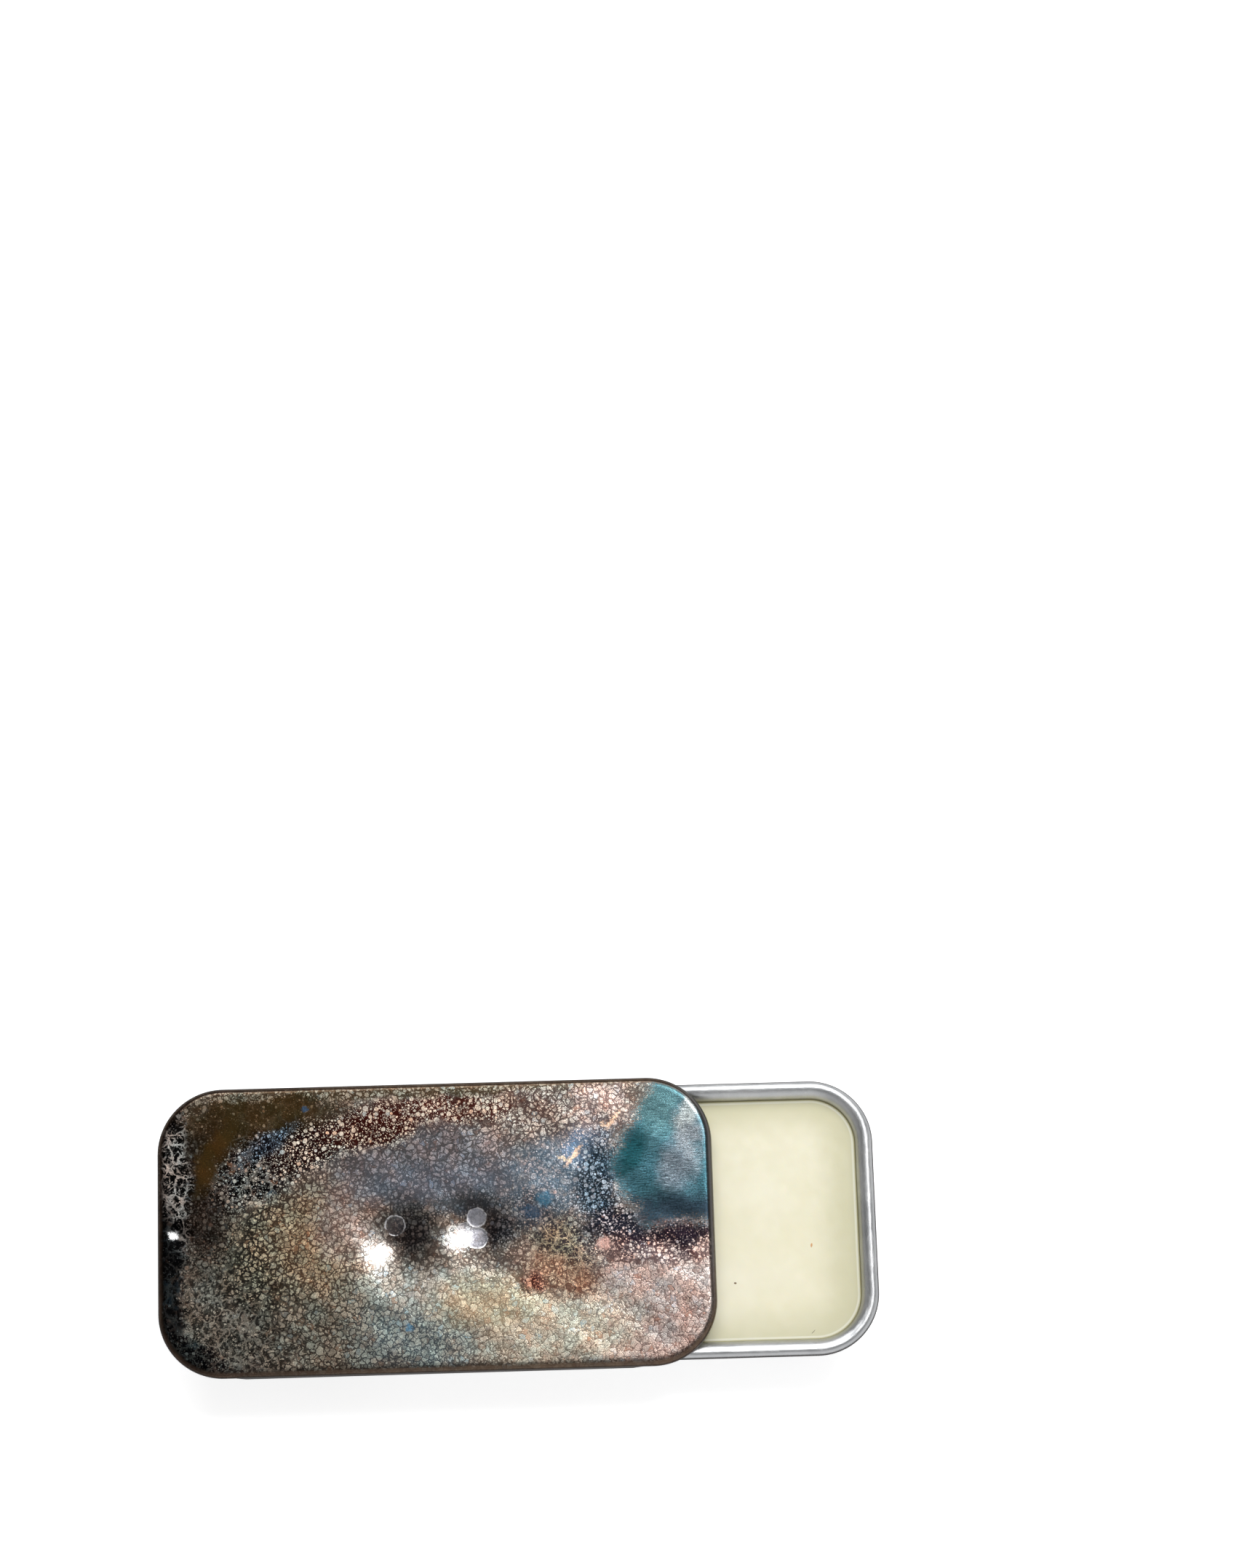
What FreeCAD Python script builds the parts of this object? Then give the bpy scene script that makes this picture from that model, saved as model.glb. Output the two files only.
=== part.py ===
"""Slide-top shoe polish tin: a drawn pan with a curled rim, a sliding lid that hooks under the rim,
the travel-stop strip welded inside the lid, and the polish in the pan.

Frame: millimetres, +X along the tin, +Y across it, +Z up. The origin is the centre of the pan's
underside. The lid is open to -X, against its stop.
"""
import FreeCAD, Part
import math
import os

import Sketcher

NEAR = 1e-4
Vector = FreeCAD.Vector

# Driving sizes in millimetres, and angles in degrees: name, value, meaning.
SIZES = [
    ("rim_length", 60.56, "outside of the curled rim, along X"),
    ("rim_width", 30.96, "outside of the curled rim, along Y"),
    ("rim_corner_radius", 7.04, "outside corner radius of the rim in plan"),
    ("pan_height", 10.95, "underside of the pan to the top of the rim"),
    ("sheet_thickness", 0.25, "tinplate of the pan, the lid and the strip"),
    ("bead_width", 1.92, "inside of the pan's wall to the outside of the rim"),
    ("curl_radius", 0.7, "outside radius of the rolled part of the rim"),
    ("curl_angle", 240.0, "how far the sheet rolls on from the top of the rim"),
    ("base_edge_radius", 1.4, "outside radius between the pan's floor and its wall"),
    ("polish_headspace", 1.3, "top of the rim to the polish"),
    ("polish_gap", 0.02, "polish to the pan"),
    ("lift_gap", 0.15, "top of the rim to the lid's turned-down edge above it"),
    ("skirt_gap", 0.47, "outside of the rim to the inside of the lid's edge, in plan"),
    ("skirt_depth", 1.0, "lid top to the lower side of its turned-down edge"),
    ("edge_bend_radius", 0.8, "outside radius of the lid's edge bend"),
    ("corner_ease", 0.26, "lid corner radius less the rim corner radius"),
    ("flange_setback", 1.2, "end of the lid's straight side to the end of the flange"),
    ("flange_depth", 4.7, "lid top to the lower edge of the flange"),
    ("flange_lean", 18.0, "slope of the lower flange, from upright"),
    ("hook_angle", 57.0, "slope of the hook under the rim, from upright"),
    ("hook_gap", 0.15, "rolled part of the rim to the hook"),
    ("hook_reach", 0.23, "how far the hook's corner lies inside the rim's outline"),
    ("hook_bend_radius", 0.2, "inside radius of the hook's two bends"),
    ("dent_spacing", 9.0, "between the two weld dents in the lid"),
    ("dent_diameter", 8.0, "weld dent across"),
    ("dent_depth", 0.3, "weld dent depth"),
    ("strip_length", 18.84, "stop strip over its two tabs"),
    ("strip_width", 7.0, "stop strip across"),
    ("strip_drop", 1.55, "stop strip's top to the lower edge of its tabs"),
    ("strip_bend_radius", 0.2, "inside radius of the stop strip's bends"),
    ("weld_gap", 0.01, "weld dent to the stop strip"),
    ("stop_gap", 0.1, "stop strip's tab to the pan's wall when the lid is against its stop"),
]

# Lengths that several pieces share, as expressions of the sheet's cells.
SHEET = "sizes.sheet_thickness"
CAVITY_LENGTH = "(sizes.rim_length - 2 * sizes.bead_width)"
CAVITY_WIDTH = "(sizes.rim_width - 2 * sizes.bead_width)"
CAVITY_CORNER = "(sizes.rim_corner_radius - sizes.bead_width)"
RIM_TURN_RADIUS = "(sizes.bead_width - sizes.curl_radius)"
WALL_TOP_Z = f"(sizes.pan_height - {RIM_TURN_RADIUS})"
CURL_CENTRE_Z = "(sizes.pan_height - sizes.curl_radius)"
POLISH_TOP_Z = "(sizes.pan_height - sizes.polish_headspace)"
SKIRT_BOTTOM_Z = "(sizes.pan_height + sizes.lift_gap)"
LID_TOP_Z = f"({SKIRT_BOTTOM_Z} + sizes.skirt_depth)"
LID_UNDERSIDE_Z = f"({LID_TOP_Z} - {SHEET})"
FLANGE_BOTTOM_Z = f"({LID_TOP_Z} - sizes.flange_depth)"
LID_LENGTH = f"(sizes.rim_length + 2 * sizes.skirt_gap + 2 * {SHEET})"
LID_WIDTH = f"(sizes.rim_width + 2 * sizes.skirt_gap + 2 * {SHEET})"
LID_CORNER = "(sizes.rim_corner_radius + sizes.corner_ease)"
FLANGE_HALF = f"({LID_LENGTH} / 2 - {LID_CORNER} - sizes.flange_setback)"
STRIP_TOP_Z = f"({LID_UNDERSIDE_Z} - sizes.dent_depth - sizes.weld_gap)"
LID_OPEN_X = f"({CAVITY_LENGTH} / 2 - sizes.strip_length / 2 - sizes.stop_gap)"

doc = FreeCAD.newDocument("slide_tin")
sizes = doc.addObject("Spreadsheet::Sheet", "sizes")
for row, (name, value, meaning) in enumerate(SIZES, start=1):
    sizes.set(f"A{row}", name)
    sizes.set(f"B{row}", str(value))
    sizes.set(f"C{row}", meaning)
    sizes.setAlias(f"B{row}", name)
doc.recompute()


def number(expression):
    """The value that an expression of the sheet's cells has now, to place a sketch's first points."""
    return float(sizes.evalExpression(expression))


def new_body(name):
    body = doc.addObject("PartDesign::Body", name)
    body.Label = name
    return body


def new_sketch(body, name, role, height=None):
    """A sketch on one of the body's own origin planes, raised along its normal by an expression."""
    sketch = body.newObject("Sketcher::SketchObject", name)
    plane = next(item for item in body.Origin.OriginFeatures if item.Role == role)
    sketch.AttachmentSupport = [(plane, "")]
    sketch.MapMode = "FlatFace"
    if height:
        sketch.setExpression("AttachmentOffset.Base.z", height)
    return sketch


def constrain(sketch, *parts):
    return sketch.addConstraint(Sketcher.Constraint(*parts))


def dimension(sketch, name, expression, kind, *parts):
    """A named dimension of the sketch, bound to an expression."""
    value = number(expression)
    if kind == "Angle":
        value = math.radians(value)
    index = constrain(sketch, kind, *parts, value)
    sketch.renameConstraint(index, name)
    sketch.setExpression(f"Constraints.{name}", expression)


def line(sketch, start, end):
    return sketch.addGeometry(Part.LineSegment(Vector(*start, 0), Vector(*end, 0)))


def arc(sketch, centre, radius, start_angle, end_angle):
    circle = Part.Circle(Vector(*centre, 0), Vector(0, 0, 1), radius)
    turn = (math.radians(start_angle), math.radians(end_angle))
    return sketch.addGeometry(Part.ArcOfCircle(circle, *turn))


def rounded_rectangle(sketch, length, width, radius):
    """A closed rounded rectangle about the origin, its right side split in two where it meets Y = 0."""
    a, b, r = number(length) / 2, number(width) / 2, number(radius)
    sides = [
        line(sketch, (a, 0), (a, b - r)),
        arc(sketch, (a - r, b - r), r, 0, 90),
        line(sketch, (a - r, b), (r - a, b)),
        arc(sketch, (r - a, b - r), r, 90, 180),
        line(sketch, (-a, b - r), (-a, r - b)),
        arc(sketch, (r - a, r - b), r, 180, 270),
        line(sketch, (r - a, -b), (a - r, -b)),
        arc(sketch, (a - r, r - b), r, 270, 360),
        line(sketch, (a, r - b), (a, 0)),
    ]
    for here, following in zip(sides, sides[1:]):
        constrain(sketch, "Tangent", here, 2, following, 1)
    constrain(sketch, "Coincident", sides[8], 2, sides[0], 1)
    for side in (sides[0], sides[4], sides[8]):
        constrain(sketch, "Vertical", side)
    for side in (sides[2], sides[6]):
        constrain(sketch, "Horizontal", side)
    for corner in (sides[3], sides[5], sides[7]):
        constrain(sketch, "Equal", sides[1], corner)
    constrain(sketch, "PointOnObject", sides[0], 1, -1)
    dimension(sketch, "corner_radius", radius, "Radius", sides[1])
    dimension(sketch, "right", f"{length} / 2", "DistanceX", -1, 1, sides[0], 1)
    dimension(sketch, "left", f"{length} / 2", "DistanceX", sides[4], 1, -1, 1)
    dimension(sketch, "top", f"{width} / 2", "DistanceY", -1, 1, sides[2], 1)
    dimension(sketch, "bottom", f"{width} / 2", "DistanceY", sides[6], 1, -1, 1)


def volume(body):
    doc.recompute()
    return body.Shape.Volume


def pad(body, sketch, length, both_ways=False):
    feature = body.newObject("PartDesign::Pad", f"{sketch.Name}_pad")
    feature.Profile = sketch
    feature.setExpression("Length", length)
    if both_ways:
        feature.SideType = "Symmetric"
    return feature


def pocket(body, sketch, depth, upwards=False, both_ways=False):
    """A cut that must take material away."""
    before = volume(body)
    feature = body.newObject("PartDesign::Pocket", f"{sketch.Name}_pocket")
    feature.Profile = sketch
    feature.setExpression("Length", depth)
    feature.Reversed = upwards
    if both_ways:
        feature.SideType = "Symmetric"
    if volume(body) > before - NEAR:
        raise RuntimeError(f"{feature.Name} cuts nothing")
    return feature


def fillet(body, name, radius, wanted):
    """Rounds the edges of the body's present shape that the test picks."""
    doc.recompute()
    base = body.Tip
    edges = [f"Edge{i}" for i, edge in enumerate(base.Shape.Edges, start=1) if wanted(edge)]
    feature = body.newObject("PartDesign::Fillet", name)
    feature.Base = (base, edges)
    feature.setExpression("Radius", radius)
    return feature


def level_edge(height):
    """Picks the edges that lie flat at a height."""
    def wanted(edge):
        box = edge.BoundBox
        return abs(box.ZMin - height) < NEAR and abs(box.ZMax - height) < NEAR
    return wanted


def straight_edge_at(across, spots):
    """Picks the straight edges seen end on at one of the spots; across names the two axes."""
    def wanted(edge):
        first, last = edge.Vertexes[0].Point, edge.Vertexes[-1].Point
        ends = [[getattr(point, axis) for axis in across] for point in (first, last)]
        still = math.dist(*ends) < NEAR and first.distanceToPoint(last) > NEAR
        return still and any(math.dist(ends[0], spot) < NEAR * 10 for spot in spots)
    return wanted


def crossing(point, direction, other, heading):
    """Where two lines of a plane meet."""
    turn = direction[0] * heading[1] - direction[1] * heading[0]
    gap = (other[0] - point[0], other[1] - point[1])
    run = (gap[0] * heading[1] - gap[1] * heading[0]) / turn
    return (point[0] + run * direction[0], point[1] + run * direction[1])


def make_pan():
    """The drawn pan: floor, rounded lower edge, wall and curled rim."""
    body = new_body("base_pan")
    outline = new_sketch(body, "pan_outline", "XY_Plane")
    rounded_rectangle(outline, f"({CAVITY_LENGTH} + 2 * {SHEET})",
                      f"({CAVITY_WIDTH} + 2 * {SHEET})", f"({CAVITY_CORNER} + {SHEET})")
    pad(body, outline, WALL_TOP_Z)
    cavity = new_sketch(body, "pan_cavity", "XY_Plane", WALL_TOP_Z)
    rounded_rectangle(cavity, CAVITY_LENGTH, CAVITY_WIDTH, CAVITY_CORNER)
    pocket(body, cavity, f"{WALL_TOP_Z} - {SHEET}")
    fillet(body, "lower_edge_inside", f"sizes.base_edge_radius - {SHEET}", level_edge(number(SHEET)))
    fillet(body, "lower_edge_outside", "sizes.base_edge_radius", level_edge(0))

    path = new_sketch(body, "rim_path", "XY_Plane", WALL_TOP_Z)
    rounded_rectangle(path, CAVITY_LENGTH, CAVITY_WIDTH, CAVITY_CORNER)
    section = new_sketch(body, "rim_section", "XZ_Plane")
    draw_rim_section(section)
    doc.recompute()
    curl = body.newObject("PartDesign::AdditivePipe", "rim_curl")
    curl.Profile = section
    curl.Spine = (path, [])
    return body


def draw_rim_section(sketch):
    """The rolled rim in section: the wall turns outwards over the top and curls round underneath."""
    turn, curl = number(RIM_TURN_RADIUS), number("sizes.curl_radius")
    thick, end_angle = number(SHEET), 90 - number("sizes.curl_angle")
    x = number("sizes.rim_length / 2 - sizes.curl_radius")
    turn_centre, curl_centre = (x, number(WALL_TOP_Z)), (x, number(CURL_CENTRE_Z))
    end = (math.cos(math.radians(end_angle)), math.sin(math.radians(end_angle)))

    def curl_end(radius):
        return (x + radius * end[0], curl_centre[1] + radius * end[1])

    outer_turn = arc(sketch, turn_centre, turn, 90, 180)
    inner_turn = arc(sketch, turn_centre, turn - thick, 90, 180)
    outer_curl = arc(sketch, curl_centre, curl, end_angle, 90)
    inner_curl = arc(sketch, curl_centre, curl - thick, end_angle, 90)
    root = line(sketch, (x - turn, turn_centre[1]), (x - turn + thick, turn_centre[1]))
    lip = line(sketch, curl_end(curl), curl_end(curl - thick))
    constrain(sketch, "Tangent", outer_curl, 2, outer_turn, 1)
    constrain(sketch, "Tangent", inner_curl, 2, inner_turn, 1)
    constrain(sketch, "Coincident", outer_turn, 2, root, 1)
    constrain(sketch, "Coincident", inner_turn, 2, root, 2)
    constrain(sketch, "Coincident", outer_curl, 1, lip, 1)
    constrain(sketch, "Coincident", inner_curl, 1, lip, 2)
    constrain(sketch, "Coincident", outer_turn, 3, inner_turn, 3)
    constrain(sketch, "Coincident", outer_curl, 3, inner_curl, 3)
    constrain(sketch, "Vertical", outer_turn, 3, outer_curl, 3)
    constrain(sketch, "Horizontal", root)
    constrain(sketch, "Horizontal", root, 1, outer_turn, 3)
    constrain(sketch, "PointOnObject", outer_curl, 3, lip)
    dimension(sketch, "turn_radius", RIM_TURN_RADIUS, "Radius", outer_turn)
    dimension(sketch, "curl_radius", "sizes.curl_radius", "Radius", outer_curl)
    dimension(sketch, "inside_radius", f"sizes.curl_radius - {SHEET}", "Radius", inner_curl)
    dimension(sketch, "centre_x", "sizes.rim_length / 2 - sizes.curl_radius", "DistanceX",
              -1, 1, outer_turn, 3)
    dimension(sketch, "centre_z", WALL_TOP_Z, "DistanceY", -1, 1, outer_turn, 3)
    dimension(sketch, "lip_angle", "270 - sizes.curl_angle", "Angle", lip)


def make_polish():
    """The polish: a cast block that fills the pan's cavity."""
    body = new_body("polish_fill")
    outline = new_sketch(body, "polish_outline", "XY_Plane", f"{SHEET} + sizes.polish_gap")
    rounded_rectangle(outline, f"({CAVITY_LENGTH} - 2 * sizes.polish_gap)",
                      f"({CAVITY_WIDTH} - 2 * sizes.polish_gap)",
                      f"({CAVITY_CORNER} - sizes.polish_gap)")
    pad(body, outline, f"{POLISH_TOP_Z} - {SHEET} - sizes.polish_gap")
    fillet(body, "polish_lower_edge", f"sizes.base_edge_radius - {SHEET} - sizes.polish_gap",
           level_edge(number(f"{SHEET} + sizes.polish_gap")))
    return body


def make_lid():
    """The lid: a shallow tray upside down, a hooked flange along each side and two weld dents."""
    body = new_body("sliding_lid")
    outline = new_sketch(body, "lid_outline", "XY_Plane", SKIRT_BOTTOM_Z)
    rounded_rectangle(outline, LID_LENGTH, LID_WIDTH, LID_CORNER)
    pad(body, outline, "sizes.skirt_depth")
    inside = new_sketch(body, "lid_inside", "XY_Plane", SKIRT_BOTTOM_Z)
    rounded_rectangle(inside, f"({LID_LENGTH} - 2 * {SHEET})", f"({LID_WIDTH} - 2 * {SHEET})",
                      f"({LID_CORNER} - {SHEET})")
    pocket(body, inside, f"sizes.skirt_depth - {SHEET}", upwards=True)
    fillet(body, "edge_bend_inside", f"sizes.edge_bend_radius - {SHEET}",
           level_edge(number(LID_UNDERSIDE_Z)))
    fillet(body, "edge_bend_outside", "sizes.edge_bend_radius", level_edge(number(LID_TOP_Z)))

    for side, name in ((1, "left"), (-1, "right")):
        add_flange(body, side, name)
    cut_flange_ends(body)
    for side, name in ((-1, "rear"), (1, "front")):
        add_dent(body, side, name)
    body.setExpression("Placement.Base.x", f"-{LID_OPEN_X}")
    return body


def add_flange(body, side, name):
    """One side flange: upright below the lid's edge, hooked in under the rim, then down the wall."""
    thick, hook, lean = number(SHEET), number("sizes.hook_angle"), number("sizes.flange_lean")
    reach = number("sizes.curl_radius + sizes.hook_gap")
    centre = (number("sizes.rim_width / 2 - sizes.curl_radius"), number(CURL_CENTRE_Z))
    inner_y = number("sizes.rim_width / 2 + sizes.skirt_gap")
    corner_y = number("sizes.rim_width / 2 - sizes.hook_reach")
    top_z, bottom_z = number(SKIRT_BOTTOM_Z), number(FLANGE_BOTTOM_Z)
    upright, level = (0, 1), (1, 0)
    hook_run = (math.sin(math.radians(hook)), math.cos(math.radians(hook)))
    lean_run = (math.sin(math.radians(lean)), math.cos(math.radians(lean)))

    def touch_point(offset):
        """Where the hook comes nearest to the rolled rim, on a face of the sheet."""
        away = reach + offset
        return (centre[0] + away * hook_run[1], centre[1] - away * hook_run[0])

    def face(offset):
        """One face of the sheet, from its top to its lower edge."""
        upper = crossing((inner_y + offset, top_z), upright, touch_point(offset), hook_run)
        inner_corner = crossing((corner_y, 0), upright, touch_point(0), hook_run)
        lean_start = (inner_corner[0] + offset * lean_run[1], inner_corner[1] - offset * lean_run[0])
        lower = crossing(touch_point(offset), hook_run, lean_start, lean_run)
        end = crossing(lean_start, lean_run, (0, bottom_z), level)
        return [(inner_y + offset, top_z), upper, lower, end]

    inner, outer = face(0), face(thick)
    sketch = new_sketch(body, f"{name}_flange_section", "YZ_Plane")
    loop = [(side * y, z) for y, z in outer + inner[::-1]]
    lines = [line(sketch, loop[i], loop[(i + 1) % len(loop)]) for i in range(len(loop))]
    out_up, out_hook, out_lean, lower_end, in_lean, in_hook, in_up, upper_end = lines
    for i, item in enumerate(lines):
        constrain(sketch, "Coincident", item, 2, lines[(i + 1) % len(lines)], 1)
    for item in (out_up, in_up):
        constrain(sketch, "Vertical", item)
    for item in (lower_end, upper_end):
        constrain(sketch, "Horizontal", item)
    constrain(sketch, "Parallel", out_hook, in_hook)
    constrain(sketch, "Parallel", out_lean, in_lean)
    circle = Part.Circle(Vector(side * centre[0], centre[1], 0), Vector(0, 0, 1), reach)
    clearance = sketch.addGeometry(circle, True)
    constrain(sketch, "Tangent", in_hook, clearance)
    dimension(sketch, "clearance_radius", "sizes.curl_radius + sizes.hook_gap", "Radius", clearance)
    sideways = [
        ("curl_y", "sizes.rim_width / 2 - sizes.curl_radius", clearance, 3),
        ("inner_y", "sizes.rim_width / 2 + sizes.skirt_gap", in_up, 2),
        ("outer_y", f"sizes.rim_width / 2 + sizes.skirt_gap + {SHEET}", out_up, 1),
        ("hook_corner_y", "sizes.rim_width / 2 - sizes.hook_reach", in_hook, 1),
    ]
    for title, expression, item, point in sideways:
        ends = (-1, 1, item, point) if side > 0 else (item, point, -1, 1)
        dimension(sketch, title, expression, "DistanceX", *ends)
    dimension(sketch, "curl_z", CURL_CENTRE_Z, "DistanceY", -1, 1, clearance, 3)
    dimension(sketch, "top_z", SKIRT_BOTTOM_Z, "DistanceY", -1, 1, upper_end, 1)
    dimension(sketch, "bottom_z", FLANGE_BOTTOM_Z, "DistanceY", -1, 1, lower_end, 1)
    dimension(sketch, "hook_sheet", SHEET, "Distance", in_hook, 1, out_hook)
    dimension(sketch, "lean_sheet", SHEET, "Distance", in_lean, 2, out_lean)
    turn = "-" if side > 0 else "+"
    dimension(sketch, "hook_slope", f"90 {turn} sizes.hook_angle", "Angle", in_hook)
    dimension(sketch, "lean_slope", f"90 {turn} sizes.flange_lean", "Angle", in_lean)
    pad(body, sketch, f"2 * {FLANGE_HALF}", both_ways=True)

    inside = [(side * y, z) for y, z in (inner[1], outer[2])]
    outside = [(side * y, z) for y, z in (outer[1], inner[2])]
    fillet(body, f"{name}_hook_inside", "sizes.hook_bend_radius", straight_edge_at("yz", inside))
    fillet(body, f"{name}_hook_outside", f"sizes.hook_bend_radius + {SHEET}",
           straight_edge_at("yz", outside))


def cut_flange_ends(body):
    """The flanges' ends slope back at 45 degrees from the lid's edge to their lower edge."""
    sketch = new_sketch(body, "flange_ends", "XZ_Plane")
    half, top, drop = number(FLANGE_HALF), number(SKIRT_BOTTOM_Z), number("sizes.flange_depth")
    for side, name in ((1, "front"), (-1, "rear")):
        corners = [(side * half, top), (side * half, top - drop), (side * (half - drop), top - drop)]
        lines = [line(sketch, corners[i], corners[(i + 1) % 3]) for i in range(3)]
        upright, level, _ = lines
        for i, item in enumerate(lines):
            constrain(sketch, "Coincident", item, 2, lines[(i + 1) % 3], 1)
        constrain(sketch, "Vertical", upright)
        constrain(sketch, "Horizontal", level)
        constrain(sketch, "Equal", upright, level)
        ends = (-1, 1, upright, 1) if side > 0 else (upright, 1, -1, 1)
        dimension(sketch, f"{name}_end", FLANGE_HALF, "DistanceX", *ends)
        dimension(sketch, f"{name}_top", SKIRT_BOTTOM_Z, "DistanceY", -1, 1, upright, 1)
        dimension(sketch, f"{name}_drop", "sizes.flange_depth", "DistanceY", upright, 2, upright, 1)
    pocket(body, sketch, f"2 * {LID_WIDTH}", both_ways=True)


def add_dent(body, side, name):
    """A dished weld dent: the sheet bulges below the lid and is hollowed by as much above."""
    before = volume(body)
    lens_radius = "((sizes.dent_diameter / 2) ^ 2 + sizes.dent_depth ^ 2) / (2 * sizes.dent_depth)"
    kinds = [
        ("bulge", "PartDesign::Revolution", LID_UNDERSIDE_Z),
        ("hollow", "PartDesign::Groove", LID_TOP_Z),
    ]
    for kind, feature_type, level in kinds:
        x, half = side * number("sizes.dent_spacing / 2"), number("sizes.dent_diameter / 2")
        z, depth, radius = number(level), number("sizes.dent_depth"), number(lens_radius)
        sketch = new_sketch(body, f"{name}_dent_{kind}", "XZ_Plane")
        sweep = math.degrees(math.asin(half / radius))
        axis = line(sketch, (x, z - depth), (x, z))
        rim = line(sketch, (x, z), (x + half, z))
        dish = arc(sketch, (x, z - depth + radius), radius, 270, 270 + sweep)
        constrain(sketch, "Coincident", axis, 2, rim, 1)
        constrain(sketch, "Coincident", rim, 2, dish, 2)
        constrain(sketch, "Coincident", dish, 1, axis, 1)
        constrain(sketch, "Vertical", axis)
        constrain(sketch, "Horizontal", rim)
        constrain(sketch, "PointOnObject", dish, 3, axis)
        dimension(sketch, "depth", "sizes.dent_depth", "DistanceY", axis, 1, axis, 2)
        dimension(sketch, "half_width", "sizes.dent_diameter / 2", "DistanceX", rim, 1, rim, 2)
        dimension(sketch, "level", level, "DistanceY", -1, 1, axis, 2)
        ends = (-1, 1, axis, 2) if side > 0 else (axis, 2, -1, 1)
        dimension(sketch, "offset", "sizes.dent_spacing / 2", "DistanceX", *ends)
        feature = body.newObject(feature_type, f"{name}_dent_{kind}_turned")
        feature.Profile = sketch
        feature.ReferenceAxis = (sketch, ["Edge1"])
        feature.Angle = 360
        after = volume(body)
        if (after > before) != (kind == "bulge"):
            raise RuntimeError(f"{feature.Name} has the wrong sign")
        before = after


def make_strip():
    """The stop strip: a flat strip welded under the dents, its two ends bent down as tabs."""
    body = new_body("stop_strip")
    thick, half = number(SHEET), number("sizes.strip_length / 2")
    top = number(STRIP_TOP_Z)
    bottom = top - number("sizes.strip_drop")
    outer = [(half, bottom), (half, top), (-half, top), (-half, bottom)]
    inner = [(thick - half, bottom), (thick - half, top - thick), (half - thick, top - thick),
             (half - thick, bottom)]
    sketch = new_sketch(body, "strip_section", "XZ_Plane")
    loop = outer + inner
    lines = [line(sketch, loop[i], loop[(i + 1) % 8]) for i in range(8)]
    for i, item in enumerate(lines):
        constrain(sketch, "Coincident", item, 2, lines[(i + 1) % 8], 1)
        constrain(sketch, "Vertical" if i % 2 == 0 else "Horizontal", item)
    front, flat, rear, rear_end, _, underside, _, front_end = lines
    for title, item in (("front_sheet", front_end), ("rear_sheet", rear_end)):
        dimension(sketch, title, SHEET, "DistanceX", item, 1, item, 2)
    dimension(sketch, "flat_sheet", SHEET, "DistanceY", underside, 1, flat, 1)
    dimension(sketch, "front_half", "sizes.strip_length / 2", "DistanceX", -1, 1, flat, 1)
    dimension(sketch, "rear_half", "sizes.strip_length / 2", "DistanceX", flat, 2, -1, 1)
    dimension(sketch, "top_z", STRIP_TOP_Z, "DistanceY", -1, 1, flat, 1)
    dimension(sketch, "front_drop", "sizes.strip_drop", "DistanceY", front, 1, front, 2)
    dimension(sketch, "rear_drop", "sizes.strip_drop", "DistanceY", rear, 2, rear, 1)
    pad(body, sketch, "sizes.strip_width", both_ways=True)
    fillet(body, "strip_bend_inside", "sizes.strip_bend_radius", straight_edge_at("xz", inner[1:3]))
    fillet(body, "strip_bend_outside", f"sizes.strip_bend_radius + {SHEET}",
           straight_edge_at("xz", outer[1:3]))
    body.setExpression("Placement.Base.x", f"-{LID_OPEN_X}")
    return body


bodies = [make_pan(), make_polish(), make_lid(), make_strip()]
doc.recompute()

for item in doc.Objects:
    if "Invalid" in item.State or "Error" in item.State:
        raise RuntimeError(f"{item.Name} failed: {item.State}")
    if item.TypeId == "Sketcher::SketchObject" and not item.FullyConstrained:
        raise RuntimeError(f"sketch {item.Name} is not fully constrained")
for body in bodies:
    if body.Shape.isNull() or not body.Shape.isValid() or len(body.Shape.Solids) != 1:
        raise RuntimeError(f"{body.Label} is not one valid solid")

os.makedirs("parts", exist_ok=True)
for body in bodies:
    body.Shape.exportStep(f"parts/{body.Label}.step")
    print(f"{body.Label}: volume {body.Shape.Volume:.2f} mm3, box {body.Shape.BoundBox}")
print(f"lid stroke, open end to open end: {2 * number(LID_OPEN_X):.3f} mm")
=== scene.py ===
"""Looks of the slide-top polish tin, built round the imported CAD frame.

Lengths are millimetres in the mesh and material code, and metres in every Blender object. The lid's
dents, weld marks and patina are laid out in millimetres from the lid's centre, so that they go with the lid.
"""
import math

import bmesh
import bpy
import numpy as np
from mathutils import Matrix, Vector


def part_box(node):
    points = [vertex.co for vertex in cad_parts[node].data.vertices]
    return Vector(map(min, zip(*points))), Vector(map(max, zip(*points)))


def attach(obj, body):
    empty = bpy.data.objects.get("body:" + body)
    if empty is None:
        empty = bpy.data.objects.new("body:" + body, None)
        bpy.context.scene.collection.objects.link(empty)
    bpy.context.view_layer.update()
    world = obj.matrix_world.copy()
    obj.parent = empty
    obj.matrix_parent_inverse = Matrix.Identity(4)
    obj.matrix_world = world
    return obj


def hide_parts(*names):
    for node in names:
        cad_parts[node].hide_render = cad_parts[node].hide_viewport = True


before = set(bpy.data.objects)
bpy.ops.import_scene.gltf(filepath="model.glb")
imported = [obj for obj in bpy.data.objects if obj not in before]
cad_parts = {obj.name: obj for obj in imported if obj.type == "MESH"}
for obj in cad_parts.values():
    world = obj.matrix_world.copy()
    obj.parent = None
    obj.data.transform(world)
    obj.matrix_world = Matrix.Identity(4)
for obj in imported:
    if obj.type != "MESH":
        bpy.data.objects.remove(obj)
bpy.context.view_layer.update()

MM = 0.001
SCENE = bpy.context.scene

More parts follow.
